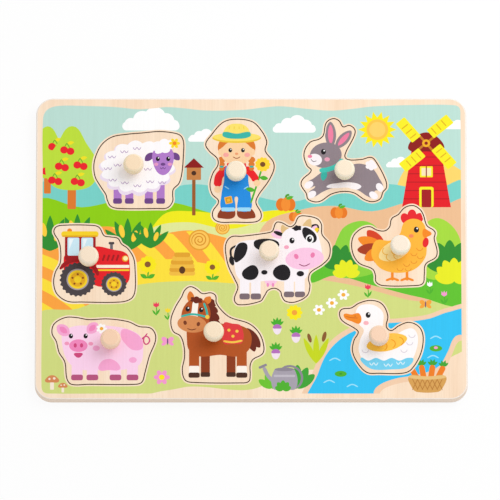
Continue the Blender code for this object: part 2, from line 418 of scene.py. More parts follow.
def smooth(points, steps=PRINT_STEPS):
    """Closed curve through the points, which passes each along the line between its two neighbours."""
    start = np.array(points, float)
    end = np.roll(start, -1, 0)
    along = unit(end - np.roll(start, 1, 0))
    return spans(start, end, along, np.roll(along, -1, 0), steps)


def spans(start, end, leaving, arriving, steps):
    """Points along cubic Bezier curves from each start to its end, without the last point of each. A curve
    is the sum of its start, two handles and end weighted by (1-t)^3, 3t(1-t)^2, 3t^2(1-t) and t^3. Its
    handles lie a third of its chord from its ends, along its two directions there."""
    reach = np.linalg.norm(end - start, axis=1, keepdims=True) / 3
    leave, arrive = start + leaving * reach, end - arriving * reach
    start, leave, arrive, end = (item[:, None] for item in (start, leave, arrive, end))
    t = (np.arange(steps) / steps)[None, :, None]
    curve = start * (1 - t) ** 3 + leave * 3 * t * (1 - t) ** 2 + arrive * 3 * t * t * (1 - t) + end * t ** 3
    return curve.reshape(-1, 2)


def line_through(points):
    """Open curve through the points, which starts and ends along its chords."""
    points = np.array(points, float)
    along = unit(np.gradient(points, axis=0))
    curve = spans(points[:-1], points[1:], along[:-1], along[1:], PRINT_STEPS)
    return np.concatenate([curve, points[-1:]])


def ribbon(centre, width, roundness=8):
    """A stroke along the centre line, half the width to each side, times the square root of one less the
    share of the way from the middle to the end, to the power of the roundness. The share stops just short
    of one."""
    along = unit(np.gradient(centre, axis=0))
    share = np.linspace(-STROKE_END, STROKE_END, len(centre))
    half = width / 2 * np.sqrt(1 - np.abs(share) ** roundness)
    side = np.stack([along[:, 1], -along[:, 0]], 1) * half[:, None]
    return np.concatenate([centre + side, (centre - side)[::-1]])


def stroke(points, width, roundness=8):
    """A ribbon along the curve through the points."""
    return ribbon(line_through(points), width, roundness)


def arch(x, y, radius, start, end, width):
    """A stroke along a circle between two angles in radians."""
    return ribbon(circled(np.linspace(start, end, ARCH_STEPS), radius) + (x, y), width)


def ellipse(x, y, wide, high=None, turn=0, count=32):
    """Half width times cosine and half height times sine, turned by so many degrees."""
    return turned(circled(np.arange(count) * math.tau / count, wide, high), x, y, turn)


def turned(points, x, y, turn):
    """The points turned by so many degrees about the origin and then moved."""
    cosine, sine = math.cos(math.radians(turn)), math.sin(math.radians(turn))
    return np.array(points, float) @ np.array([(cosine, sine), (-sine, cosine)]) + (x, y)


def scalloped(x, y, wide, high, bumps, depth, turn=0):
    """An ellipse edged with bumps: its radius is cut by the depth times one less the sine of half the bump
    count times the angle, taken as positive."""
    angle = np.arange(bumps * BUMP_STEPS) * math.tau / (bumps * BUMP_STEPS)
    radius = 1 - depth * (1 - np.abs(np.sin(angle * bumps / 2)))
    return turned(circled(angle, wide * radius, high * radius), x, y, turn)


def rayed(x, y, outer, inner, count):
    """A star: its radius swings between outer and inner from ray to ray."""
    angle = np.arange(count * 2) * math.pi / count
    return circled(angle, np.where(np.arange(count * 2) % 2, inner, outer)) + (x, y)


def block(x0, y0, x1, y1, radius=0.8):
    """A rounded rectangle between two opposite corners."""
    size = np.array([x1 - x0, y1 - y0], float)
    return rounded_rectangle(size, radius, BLOCK_STEPS) + ((x0 + x1) / 2, (y0 + y1) / 2)


def leaf(x, y, length, width, turn, roundness=1.0):
    """Two arcs that meet at the foot and the tip: half the width times the sine of the way up, to the power
    of one over the roundness."""
    share = (1 - np.cos(np.linspace(0, math.pi, LEAF_STEPS))) / 2
    side = np.stack([share * length, np.sin(share * math.pi) ** (1 / roundness) * width / 2], 1)
    return turned(np.concatenate([side, side[-2:0:-1] * (1, -1)]), x, y, turn)


def tuft(ink, x, y, length, width, leaves, spread, roundness=1.0):
    """Leaves that fan out from one foot over so many degrees, the upright ones longest."""
    turns = np.linspace(90 + spread / 2, 90 - spread / 2, leaves)
    return [(ink, leaf(x, y, length * (0.75 + 0.25 * math.sin(math.radians(turn))), width, turn, roundness))
            for turn in turns]


def petals(ink, heart, x, y, radius, count):
    """A flower: petals round a heart, with their sizes as shares of its radius."""
    flower = []
    for angle in np.arange(count) * 360 / count:
        middle = turned([(radius * PETAL_PLACE, 0)], x, y, angle)[0]
        flower.append((ink, ellipse(*middle, radius * PETAL_REACH, radius * PETAL_WIDTH, angle, 14)))
    return flower + [(heart, ellipse(x, y, radius * HEART_SIZE, count=16))]


def inked(*shapes):
    """Shapes with their ink and its cover, from the lowest to the topmost. A shape's colour is given as six
    hex digits, or as bare for wood that is left unprinted."""
    inks = [np.zeros(4) if code == "bare" else np.array([*linear(code), 1]) for code, outline in shapes]
    return [(ink, np.array(outline, float)) for ink, (code, outline) in zip(inks, shapes)]


# The outlines that the saw follows, anticlockwise, in millimetres from each piece's own middle
SAWN = {
    "sheep": [
        (3, 27), (-8, 26), (-18.5, 24), (-25.5, 18.5), (-29.5, 10.5), (-31, 3), (-30, -5), (-26.5, -11.5),
        (-22.5, -18), (-21.5, -22), (-19, -26.5), (-13, -28), (13.5, -28), (20, -27.5), (23.5, -23),
        (23.5, -18), (24, -14), (28, -9.5), (30, -1.5), (31, 12), (31, 20.5), (29, 25), (24, 27), (14, 28),
    ],
    "farmer": [
        (-4, 37.5), (-12, 35), (-20, 25.5), (-23.5, 19.5), (-21, 14.5), (-15.5, 9), (-15, 4), (-18.5, -2),
        (-20.5, -10), (-19, -17), (-14.5, -22.5), (-18.5, -30), (-18, -35), (-13.5, -37.5), (-4, -37.5),
        (9.5, -37.5), (14, -35.5), (14.5, -31), (11, -23.5), (13, -17.5), (19.5, -8), (23.5, 1), (23, 6.5),
        (17.5, 14.5), (18.5, 21.5), (14, 30.5), (8, 36),
    ],
    "rabbit": [
        (-7.5, 30.5), (-12, 27.5), (-14, 18.5), (-17, 15.5), (-23.5, 13), (-27.5, 5), (-25.5, -3.5),
        (-22.5, -7.5), (-28.5, -14), (-29.5, -18), (-26, -24), (-24.5, -28.5), (-17.5, -30), (-9, -24.5),
        (-1, -22.5), (7, -23.5), (14.5, -28.5), (20, -30), (25, -28), (27, -23), (29.5, -19.5),
        (28.5, -13.5), (22.5, -1.5), (19, 2), (12.5, 0.5), (2.5, 0.5), (0.5, 4), (7, 18), (7.5, 22.5),
        (4, 25.5), (-0.5, 24.5), (-3.5, 29),
    ],
    "tractor": [
        (-27, 26), (-28, 22.5), (-25, 17), (-23.5, 11.5), (-23.5, 0.5), (-27, -7), (-28, -15),
        (-25.5, -22.5), (-18.5, -27.5), (-9, -28), (18, -28), (25.5, -25.5), (28, -20), (28, -5), (27, 3.5),
        (23, 10.5), (18.5, 14), (16, 18), (11, 19), (6.5, 20), (3, 26), (-2, 27.5), (-23, 27.5),
    ],
    "cow": [
        (-35.5, 2), (-33.5, -5.5), (-29.5, -14), (-27.5, -19.5), (-30, -28.5), (-27, -32), (-12.5, -29.5),
        (-9.5, -25.5), (-7, -21.5), (-2, -20), (2, -22.5), (3, -26), (5.5, -29.5), (12, -30), (20, -25.5),
        (22, -18.5), (21, -13.5), (22.5, -8.5), (31, -2.5), (35.5, 3), (35.5, 12), (30.5, 19), (30, 26.5),
        (27, 30.5), (18, 32.5), (14.5, 31.5), (12, 26.5), (8.5, 24.5), (2.5, 27.5), (-1, 27.5),
        (-3.5, 21.5), (-7, 20), (-25, 17.5), (-32.5, 17), (-36, 11.5),
    ],
    "hen": [
        (13, 29), (7.5, 27.5), (3, 22.5), (-1.5, 19.5), (-3, 13.5), (-6.5, 10.5), (-12, 11), (-17, 13.5),
        (-23, 12), (-28.5, 6), (-29, -4), (-24.5, -12.5), (-15, -17), (-13, -21.5), (-12.5, -26.5),
        (-8, -29), (14, -29), (19.5, -27.5), (20.5, -21.5), (21.5, -13.5), (28.5, -8.5), (29.5, -4),
        (27.5, 5), (28, 10), (22.5, 14.5), (20, 22.5), (17.5, 26.5),
    ],
    "pig": [
        (-26.5, 24), (-34, 19.5), (-35.5, 13), (-32.5, 7), (-30.5, -1), (-26.5, -8), (-25, -20), (-22, -24),
        (-10.5, -24), (22, -24), (26.5, -22.5), (28.5, -16), (31.5, -4), (36, 9), (33, 16), (24.5, 17.5),
        (17, 21), (3, 23), (-10.5, 22.5), (-19, 24),
    ],
    "horse": [
        (-19, 35), (-22.5, 32.5), (-24.5, 28), (-29, 20), (-32, 11), (-30.5, 3), (-25.5, -0.5), (-23, -7.5),
        (-22.5, -16), (-24, -25), (-22.5, -32), (-18.5, -34), (16, -34.5), (21.5, -33.5), (22.5, -29),
        (22.5, -22), (24.5, -17.5), (31, -13.5), (32, -8.5), (29, 1), (22, 8), (9, 12.5), (3, 17.5),
        (-1, 23.5), (-1.5, 28.5), (-4.5, 30.5), (-10.5, 30), (-15, 33.5),
    ],
    "duck": [
        (-27, 11.5), (-18.5, 6), (-16, 3), (-19, -3), (-20, -11), (-16, -20), (-10, -26), (-2, -26.5),
        (14, -26.5), (20, -24), (26.5, -13), (28.5, -1), (26, 6.5), (19, 10), (12, 7.5), (6.5, 4), (3, 7),
        (4, 15), (0, 23.5), (-7.5, 26), (-15.5, 24), (-21, 20.5), (-27.5, 19.5), (-29, 16),
    ],
}


def middle_of(node):
    """The middle of a CAD node's box, seen from above, in millimetres."""
    low, high = (np.array(corner[:2]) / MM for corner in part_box(node))
    return (low + high) / 2


def sawn_outline(name):
    """The piece's smooth outline, moved to where its CAD node lies, and how far it is moved."""
    outline = smooth(SAWN[name], CUT_STEPS)
    move = middle_of(name + "_piece") - (outline.min(0) + outline.max(0)) / 2
    return outline + move, move


def printed_birch():
    """Ink on birch: the face colour named ink shows the wood through it where its cover is nothing, and
    fine grain lightly all over."""
    material, tree, shader = new_material("printed_birch_face", 0.5, 0.16)
    wood, fine = birch(tree)
    ink = add_node(tree, "Attribute", attribute_name="ink", attribute_type="GEOMETRY")
    printed = shaded(tree, ink.outputs["Color"], fine, (0.35, (0.975, 0.972, 0.966)), (0.62, FULL))
    colour = mixed(tree, ink.outputs["Alpha"], wood, printed)
    surfaced(tree, shader, colour, fine, 0.03)
    return material


printed_face = printed_birch()
# The cut walls, on the board and on the pieces: a dark brown that is partly their own colour and partly
# painted shade, made darker so that the narrow slot round each piece reads dark.
sawn_ply_and_slot_shade = ply_edge("sawn_ply_edge_and_slot_shade", linear("6B3D1E"), linear("46260F"), linear("251206"), 0.8)

# The printed area: bare margins at the sides and a wavy top edge. The bank along the foot stays bare too,
# apart from what is printed on it.
BARE_BANK = smooth([
    (-72, -108), (-66, -105), (-54, -102.8), (-43, -100.8), (-30, -101.2), (-15, -103), (-3, -103.2),
    (6, -101), (14, -96), (26, -90.5), (44, -88.5), (60, -91), (80, -95.5), (100, -96), (118, -92),
    (133, -83), (142, -77.5), (152, -75), (152, -112), (40, -112), (-60, -112),
])
PRINTED_AREA = smooth([
    (-145.3, -101), (-143.5, -105), (-138, -105.8), (-100, -105.8), (0, -105.8), (100, -105.8),
    (138, -105.8), (144, -104.5), (146, -99), (146, -70), (146, -30), (146, 30), (146, 96), (145, 103.5),
    (139, 105.2), (115, 105.2), (85.4, 104.1), (70, 102.2), (55.5, 101), (38, 102.4), (20.6, 104.2),
    (8, 103.2), (-4, 101.7), (-20, 101), (-34, 101.2), (-46, 102.6), (-59, 103.6), (-69, 102.6), (-79, 102),
    (-95, 103.6), (-115, 104.4), (-135, 104.4), (-142.5, 101.5), (-145.3, 95), (-145.3, 50), (-145.3, 0),
    (-145.3, -50),
])


WHITE, GREEN, DEEP_GREEN = "FFFFFF", "4FB32B", "2E8F2E"
LEMON, PINK, DARK_RED = "FBEA12", "F79BD0", "8E1210"


def placed(shapes, x, y, size=1):
    """Shapes drawn about an origin of their own, scaled by the size and moved to their place."""
    return [(ink, np.array(outline, float) * size + (x, y)) for ink, outline in shapes]


def cloud(x, y, size):
    """Five round heaps on one flat foot."""
    heaps = ((-0.7, 0.16, 0.22), (-0.3, 0.32, 0.32), (0.14, 0.4, 0.38), (0.52, 0.26, 0.3),
             (0.8, 0.13, 0.18))
    puffs = [(WHITE, ellipse(*heap)) for heap in heaps]
    return placed([*puffs, (WHITE, block(-1, -0.08, 1, 0.24, 0.15))], x, y, size)


def hay_bale(x, y, size):
    """A round bale, with a stroke along a spiral whose radius grows evenly with its angle."""
    share = np.linspace(0.12, 1, 46)
    spiral = ribbon(circled(share * 2.6 * math.tau, 0.74 * share), 0.1)
    return placed([("E8A22E", ellipse(0, 0, 1)), ("FFC95A", ellipse(0, 0, 0.86)), ("D88F22", spiral)],
                  x, y, size)


def pumpkin(x, y, size):
    """Three ribs, a bent stalk and a leaf."""
    return placed([
        ("4E9E22", stroke([(0, 0.55), (0.1, 1), (0.4, 1.1)], 0.24)),
        ("E9781C", ellipse(-0.5, 0, 0.55, 0.72)), ("E9781C", ellipse(0.5, 0, 0.55, 0.72)),
        ("F58F2E", ellipse(0, 0, 0.5, 0.78)), ("5BB52C", leaf(0, 0.6, 0.9, 0.4, 20))], x, y, size)


def turnip(x, y, size):
    """A white root with a purple shoulder under a tuft of leaves."""
    return placed([
        *tuft("46B02A", 0, 0.3, 1.25, 0.42, 5, 110),
        ("F6E6F1", smooth([(-0.62, 0), (0, -1), (0.62, 0), (0, 0.5)])),
        ("B870BE", smooth([(-0.62, 0.02), (0, -0.12), (0.62, 0.02), (0, 0.52)]))], x, y, size)


def tulip(ink, x, y, size):
    """A cup with three points on a stem between two leaves."""
    cup = [(-0.5, 0.75), (-0.55, 0), (0, -0.35), (0.55, 0), (0.5, 0.75), (0.22, 0.35), (0, 0.85),
           (-0.22, 0.35)]
    return placed([
        (GREEN, stroke([(0, -2), (0.1, -1), (0, 0)], 0.2)), (GREEN, leaf(0, -1.9, 1.5, 0.4, 60)),
        (GREEN, leaf(0, -1.9, 1.3, 0.4, 125)), (ink, cup)], x, y, size)


def cherry_tree(x, foot, size, bunches):
    """A crown like a flame on a short trunk, with pairs of cherries at the given shares of its size."""
    crown = smooth([(0, 2.9), (-0.55, 2.2), (-1, 1.3), (-0.75, 0.55), (0, 0.35), (0.75, 0.55), (1, 1.3),
                    (0.55, 2.2)])
    cherries = [("F4E21E", leaf(1.8, 4.6, 5.4, 2.6, 12)),
                ("5FA823", stroke([(2, 5), (0.8, 3), (0, 0.6)], 0.6)),
                ("5FA823", stroke([(2, 5), (3.4, 2.6), (4.4, 0)], 0.6)),
                ("EC2028", ellipse(0, 0, 2.7, count=22)), ("EC2028", ellipse(4.5, -1, 2.7, count=22))]
    tree = placed([("E07A2B", block(-0.16, -0.4, 0.16, 0.9, 0.05)), ("BEE03A", crown)], x, foot, size)
    for across, up in bunches:
        tree += placed(cherries, x + across * size, foot + up * size)
    return tree


def corn(x, foot, size):
    """A corn plant: a tuft of long leaves with two yellow cobs."""
    return placed([
        *tuft(DEEP_GREEN, 0, 0, 1, 0.24, 5, 90, 1.3), ("FFD23C", ellipse(-0.17, 0.6, 0.08, 0.2, 12, 20)),
        ("FFD23C", ellipse(0.2, 0.45, 0.08, 0.18, -18, 20))], x, foot, size)


def sunflower(x, foot, size):
    """A flower on a short stem between two leaves."""
    return placed([
        (GREEN, stroke([(0, 0), (0.09, 1)], 0.17)), (GREEN, leaf(0, 0, 1, 0.5, 30)),
        (GREEN, leaf(0, 0, 1, 0.5, 150)), *petals(LEMON, "8A5A2C", 0, 1.7, 1, 11)], x, foot, size)


def beehive(x, foot, size):
    """A straw hive: rounded bands that narrow upwards like an egg, and a dark doorway."""
    bands = [("E5A52C" if row % 2 else "F4BE42", block(-reach, row * 0.3, reach, (row + 1.25) * 0.3, 0.17))
             for row, reach in enumerate(np.sqrt(1 - (np.arange(6) / 6.4) ** 2))]
    return placed([*bands, ("5A3416", ellipse(0, 0.45, 0.24, 0.3, count=20))], x, foot, size)


def butterfly(ink, x, y, size):
    """Two pairs of wings and a body."""
    wings = [(ink, ellipse(side * 0.5, up, 0.48, wide, side * lean, 18))
             for side in (-1, 1) for up, wide, lean in ((0.32, 0.38, 40), (-0.3, 0.28, -35))]
    return placed([*wings, ("6B4A7A", ellipse(0, 0, 0.1, 0.55, count=14))], x, y, size)


def mushroom(x, y, size):
    """A spotted cap on a stalk."""
    cap = smooth([(-0.8, 0), (-0.45, 0.6), (0, 0.75), (0.45, 0.6), (0.8, 0), (0, -0.12)])
    return placed([
        ("FBEBD8", block(-0.22, -1, 0.22, 0.04, 0.08)), ("D98B57", cap),
        ("FCE9D2", ellipse(-0.3, 0.3, 0.13, count=12)), ("FCE9D2", ellipse(0.25, 0.36, 0.15, count=12))],
        x, y, size)


def basket(x, y):
    """A woven basket full of carrots: slanting strokes both ways over a bowl."""
    carrots = []
    for across, lean in ((-7, 118), (-2.4, 100), (2.4, 82), (7, 64)):
        carrots += tuft("3FA535", *turned([(9.6, 0)], across, 1.5, lean)[0], 5, 1.9, 4, 100)
        carrots.append(("F07F1E", turned(block(-3, -2, 10, 2, 1.8), across, 1.5, lean)))
    bowl = smooth([(-12.5, 3.4), (-10.4, -5.6), (-7, -8.2), (7, -8.2), (10.4, -5.6), (12.5, 3.4), (0, 2.6)])
    weave = [("B87A34", stroke([(start, 1.6), (start + slant, -6.8)], 0.55, 14))
             for slant in (-4, 4) for start in np.arange(-8.5, 9, 3.4) - slant * 0.5]
    rim = stroke([(-12.8, 3), (0, 2), (12.8, 3)], 2.4, 14)
    return placed([*carrots, ("D9A255", bowl), *weave, ("E9C27D", rim)], x, y)


def watering_can(x, y):
    """A grey can with a spout to the left and a round handle, among grass."""
    return placed([
        *tuft("3FA535", 9, -8, 17, 6.5, 5, 100, 1.8), *tuft("6CC52F", -9, -8, 12, 5, 4, 110, 1.8),
        ("8F8894", arch(3.6, -0.5, 8.6, -1.0, 2.3, 1.6)),
        ("A9A2AE", stroke([(-5, -5), (-11, 0.5), (-14.5, 7.5)], 2.6, 14)),
        ("8F8894", turned(block(-3, -0.9, 3, 0.9, 0.6), -15, 8, 25)),
        ("A9A2AE", smooth([(-8, -8), (-7, 5.4), (0, 6.2), (7, 5.4), (8, -8), (0, -8.6)])),
        ("C2BCC6", block(-7.4, 0.2, 7.4, 1.8, 0.6)), ("8F8894", ellipse(0, 5.7, 6.8, 1.3)),
        *tuft(GREEN, -1, -9.2, 7, 4, 5, 140, 1.8)], x, y)


def windmill(x, foot, height):
    """A red boarded tower that narrows upwards, with a dark cap and four yellow sails."""
    wall = height - 4
    parts = [("E4161F", [(-17, 0), (17, 0), (10, wall), (-10, wall)])]
    for share in np.arange(1, 7) / 7:
        half, up = 17 - 7 * share, wall * share
        parts.append(("B80F18", block(-half, up - 0.35, half, up + 0.35, 0.2)))
    cap = [(-12, -5), (-9.5, 3), (0, 8), (9.5, 3), (12, -5), (0, -6)]
    parts += [(DARK_RED, smooth(cap) + (0, height)), ("F8EE22", block(-5, 0, 5, 15, 1.5)),
              ("A5141A", block(-3.4, 0, 3.4, 13)), ("F8EE22", block(-4.5, 22, 4.5, 30, 0.6)),
              ("FBE7B8", block(-3.3, 23.2, 3.3, 28.8, 0.4)), (DARK_RED, block(-0.4, 22, 0.4, 30, 0.1))]
    sail = [("C77A1E", block(1, -0.8, 24, 0.8, 0.4)), ("F8EE22", block(6.5, -0.8, 24.5, 7.2, 0.8)),
            *[("E2B21A", block(rung, 0.8, rung + 0.8, 6.2, 0.2)) for rung in (9.5, 14, 18.5)]]
    for turn in (40, 130, 220, 310):
        parts += [(ink, turned(outline, 0, height, turn)) for ink, outline in sail]
    hub = [("F2B01E", ellipse(0, height, 2.8)), (DARK_RED, ellipse(0, height, 1.2, count=16))]
    return placed(parts + hub, x, foot)


def furrows(ink, middle, radii, width, edge):
    """Bands of earth along arcs about one far point, cut off along the field's upper edge."""
    around = circled(np.linspace(-0.5, 1.5, FURROW_STEPS))
    bands = []
    for radius in radii:
        inner, outer = (middle + (radius + step) * around for step in (-width / 2, width / 2))
        within = inner[:, 1] < np.interp(inner[:, 0], *edge.T)
        band = np.concatenate([outer[within], inner[within][::-1]])
        band[:, 1] = np.minimum(band[:, 1], np.interp(band[:, 0], *edge.T))
        bands.append((ink, band))
    return bands


FIELD_EDGE = line_through([(-150, 18), (-128, 12), (-100, 16), (-70, 10), (-42, 13), (-12, 6), (12, -2)])


landscape = [
    ("BCDFD4", block(-150, -110, 150, 110)),
    ("FBD66B", smooth([(96, 20), (100, 40), (106, 56), (115, 64), (130, 66), (142, 60), (150, 52),
                       (150, 20)])),
    ("78D2C9", smooth([(-150, -20), (-150, 44), (-112, 50), (-78, 40), (-40, 47), (-5, 40), (28, 34),
                       (62, 44), (96, 47), (126, 42), (150, 48), (150, -20)])),
    ("8FD000", smooth([(-150, -20), (-150, 34), (-118, 30), (-86, 36), (-52, 33), (-24, 25), (10, 22),
                       (10, -20)])),
    ("F3EC12", smooth([(-70, 0), (-62, 24), (-40, 27), (-12, 24), (20, 28), (40, 24), (40, 0)])),
    ("E3EA9A", smooth([(-84, -8), (-70, 14), (-44, 19), (-16, 14), (16, 20), (34, 12), (40, -8)])),
    ("EDBE92", smooth([(-4, -40), (8, 16), (34, 28), (58, 31), (84, 27), (112, 34), (132, 31), (150, 35),
                       (150, -60)])),
    ("FFA63F", [*FIELD_EDGE, (0, -36), (-60, -40), (-150, -60)]),
    *furrows("FFE23A", np.array([-190, -120]), range(88, 216, 16), 8, FIELD_EDGE),
    ("FFE23A", smooth([(-80, -40), (-84, -14), (-56, -8), (-20, -12), (4, -6), (10, -40)])),
    ("D3DD82", smooth([(-150, -120), (-150, -50), (-120, -44), (-84, -28), (-44, -24), (0, -26), (34, -22),
                       (70, -27), (110, -38), (150, -46), (150, -120)])),
    ("5FC22B", smooth([(38, -24), (44, -6), (62, -2), (84, -12), (112, -14), (130, -2), (150, -4),
                       (150, -40), (118, -36), (84, -27), (58, -20)])),
    ("8BD33B", smooth([(58, -18), (62, 12), (76, 20), (88, 14), (92, -10), (80, -20)])),
    ("A5DA3C", smooth([(120, -20), (118, 12), (128, 22), (140, 16), (146, 2), (142, -18)])),
    *cloud(-70, 88, 20), *cloud(-33, 79, 11), *cloud(30, 86, 15), *cloud(103, 60, 9), *cloud(143, 88, 8),
    *windmill(122, 30, 47),
    (LEMON, rayed(88, 87, 13.5, 9, 14)), ("FBC64B", ellipse(88, 87, 7.6)),
    ("FDD268", ellipse(88, 87, 5.6)),
    *cherry_tree(-142, 46, 15, [(-0.1, 0.7), (0.2, 1.9)]),
    *cherry_tree(-125, 36, 18.5, [(-0.75, 0.75), (0.1, 0.7), (-0.5, 1.3), (0.2, 1.35), (-0.3, 1.95)]),
    ("9C5A26", block(-41.2, 24, -38.8, 55, 0.5)), ("C98245", block(-45, 50, -35, 60, 0.6)),
    (DARK_RED, [(-47, 59), (-40, 66), (-33, 59)]), ("4A2A18", ellipse(-40, 55, 1.7, count=18)),
    *corn(-140, -2, 26), *corn(-121, 2, 23), *corn(-86, -2, 24), *corn(-70, 0, 19),
    *hay_bale(-36, 6, 7.6), *hay_bale(-20, 15, 5),
    *sunflower(-72, -22, 6), *beehive(-48, -20, 9), *sunflower(-27, -23, 5.4),
    *pumpkin(24, 32, 6.5), *pumpkin(61, 26, 5.6), *pumpkin(31, 23, 4.6),
    *tuft(DEEP_GREEN, 138, -16, 22, 9, 7, 140, 1.8), *tuft("E9EC1C", 141, -24, 17, 8, 7, 150, 1.8),
    *tuft(DEEP_GREEN, 62, -14, 17, 7.5, 6, 140, 1.8), *tuft("E9EC1C", 66, -20, 12, 6, 6, 150, 1.8),
    *tulip("EE3A5C", 81, -29, 3.6), *tulip(WHITE, 124, -27, 3.4), *tulip(PINK, 134, -34, 3.6),
    *tulip("EE3A5C", -66, -42, 3.6), *tulip("FBDD2A", -58, -46, 3.2),
    *butterfly(PINK, -58, -68, 4.6), *butterfly("F5A53A", 121, -41, 4.4),
    *[piece for x, y in ((56, -40), (47, -45), (64, -34))
      for piece in petals(WHITE, "F6B23C", x, y, 4, 6)],
    *petals(PINK, LEMON, -62, -94, 5.4, 6), *petals(LEMON, "F5A53A", 30, -47, 5.4, 9),
    *turnip(18, -58, 5), *turnip(31, -64, 5), *turnip(17, -76, 5),
    *mushroom(-138, -97, 6), *mushroom(-130.5, -101, 4),
    ("bare", BARE_BANK),
    ("F4CFAE", smooth([(36, -114), (42, -92), (50, -74), (63, -61), (82, -53), (104, -51), (122, -48.5),
                       (136, -43.5), (154, -42), (154, -66), (144, -68), (139, -78), (133, -89), (120, -95),
                       (100, -99), (90, -104), (86, -114)])),
    ("2FC3F5", smooth([(40, -114), (46, -92), (53, -76), (65, -64), (83, -56), (104, -54), (123, -51.5),
                       (137, -46.5), (154, -45), (154, -62), (142, -64), (136, -76), (130, -86),
                       (118, -91.5), (98, -95.5), (86, -102), (82, -114)])),
    *[("9BE2FB", stroke([(x, y), (x + 4, y + 1.8), (x + 8, y)], 0.9)) for x, y in
      ((54, -82), (50, -98), (66, -101), (124, -66), (122, -80))],
    (GREEN, ellipse(128, -73, 4.4, 2.3)), (PINK, ellipse(128, -72.5, 1.4, 1, count=14)),
    (GREEN, ellipse(62, -91.5, 4.2, 2.2)), (DEEP_GREEN, ellipse(62, -91.5, 1, 0.5, count=12)),
    *tuft("C7D916", 45, -84, 21, 4.2, 3, 50, 1.3), ("8A5A2C", ellipse(50.6, -64.5, 1.4, 3.8, -14)),
    ("8A5A2C", ellipse(40.4, -65.5, 1.3, 3.4, 16)),
    *watering_can(23, -94), *basket(122, -96.5),
]
cut_outs = [moved_out(sawn_outline(name)[0], SAW_CUT) for name in SAWN]
picture_sheet = sheet_mesh(
    "picture_sheet", [board_edge] + [outline[::-1] for outline in cut_outs],
    [edge_profile(PICTURE_LOW, PICTURE_TOP, radius, SAWN_FOOT) for radius in (SANDED_EDGE, SAWN_EDGE)],
    [printed_face, bare_birch, sanded_ply, sawn_ply_and_slot_shade], layers=inked(*landscape), area=PRINTED_AREA,
    gaps=[moved_out(outline, BARE_BAND) for outline in cut_outs])
add_piece(picture_sheet, "board", "printed_birch", "frame_plate")

# Sheep
# Sawn out of the printed sheet, 5 mm thick, drilled for the spigot of its knob and laid loose in its
# cut-out. Its picture is a woolly sheep with a flower behind one ear, inside a bare band along the cut.

PIECE_LIFT = 0.1
BORE_RADIUS, BORE_BAND = 3.3, 0.4
PIECE_PRINT_EDGE = 0.8
INK_BLACK, ORANGE, TEAL = "19151A", "F58A1E", "38B6A8"
WOOL, WOOL_SHADE, WOOL_LINE = "FFFCFE", "EFE0F2", "B79BC4"
LILAC, DEEP_LILAC = "B27BCB", "6E4386"


def add_puzzle_piece(name, *picture):
    """The piece's outline as a flat body with a bored hole, and its picture from the lowest ink up."""
    outline, move = sawn_outline(name)
    bore = ellipse(*middle_of(name + "_knob"), BORE_RADIUS, count=40)
    mesh = sheet_mesh(
        name + "_puzzle_piece", [outline, bore[::-1]],
        [edge_profile(PICTURE_LOW + PIECE_LIFT, PICTURE_TOP, SAWN_EDGE, SAWN_FOOT)],
        [printed_face, bare_birch, sawn_ply_and_slot_shade, bare_birch],
        layers=inked(*placed(picture, *move)), area=moved_out(outline, -PIECE_PRINT_EDGE),
        gaps=[moved_out(bore, BORE_BAND)])
    add_piece(mesh, name, name + "_print", name + "_piece")


def oval_eyes(size, *places):
    """Upright black ovals, each with a small light in it."""
    eye = [(INK_BLACK, ellipse(0, 0, 0.82, 1, count=24)), (WHITE, ellipse(0.26, 0.4, 0.27, count=12))]
    return [shape for place in places for shape in placed(eye, *place, size)]


def blush(ink, radius, *places):
    """Round cheeks of a warmer colour."""
    return [(ink, ellipse(x, y, radius, radius * 0.8, count=20)) for x, y in places]


def wavelet(ink, x, y, reach, width):
    """A stroke that dips twice, like a lock of wool or a ripple."""
    dips = np.array([(-1, 0.4), (-0.5, -0.2), (0, 0.32), (0.5, -0.2), (1, 0.4)])
    return ink, stroke(dips * reach + (x, y), width)


def legs(places, *parts):
    """Legs side by side, from the lowest ink up. Each part is a rounded rectangle, given by its ink, its
    left side from the leg's place, its foot, its right side, its top and its radius."""
    return [(ink, block(x + left, foot, x + right, top, radius))
            for ink, left, foot, right, top, radius in parts for x in places]


def patches(ink, *outlines):
    """Smooth patches of one ink."""
    return [(ink, smooth(outline)) for outline in outlines]


add_puzzle_piece(
    "sheep",
    *legs((-17.4, -9.2, 4.4, 12.6), (LILAC, 0, -22, 5.6, -8, 1.4),
          (DEEP_LILAC, -0.3, -24.8, 5.9, -20.8, 1.3)),
    (WOOL_SHADE, scalloped(-1, 1.2, 27.2, 20.4, 14, 0.12, 6)),
    (WOOL, scalloped(-0.7, 2.6, 26.2, 19.2, 14, 0.12, 6)),
    *[wavelet(WOOL_LINE, x, y, 2.8, 0.55) for x, y in
      ((-18.6, 9.4), (-10, 13.2), (-1.2, 15.6), (-21.4, 0.8), (-14.6, 3.4), (-18, -7.6), (-9.6, -9.6),
       (-0.8, -11.8), (8, -8.8), (16.4, -9.4), (6.4, 0.4))],
    (DEEP_LILAC, leaf(10.2, 12.6, 8.2, 5, 226, 1.6)), (DEEP_LILAC, leaf(23.6, 12.6, 7.2, 4.8, -48, 1.6)),
    (LILAC, smooth([(9.6, 12), (10.2, 4.6), (13, -1.6), (17, -3.8), (21, -1.6), (23.8, 4.6), (24.4, 12),
                    (21, 16.8), (13, 16.8)])),
    (WOOL, scalloped(17, 17.4, 8.8, 5.4, 7, 0.22, 14)),
    *oval_eyes(1.7, (13.4, 8.2), (20.6, 8.2)), *blush("E79BC8", 1.5, (12.2, 4.2), (21.8, 4.2)),
    (DEEP_LILAC, ellipse(17, 4.2, 1.7, 1.1, count=20)), wavelet(DEEP_LILAC, 17, 1.2, 2, 0.5),
    *petals("FBDD2A", ORANGE, 25, 19.6, 3.8, 6))

# Farmer
# Sawn from the same printed plywood, drilled, and laid loose in its cut-out like the sheep: a farmer in a
# straw hat and blue dungarees who holds a tall sunflower. The knob stands on the chest.

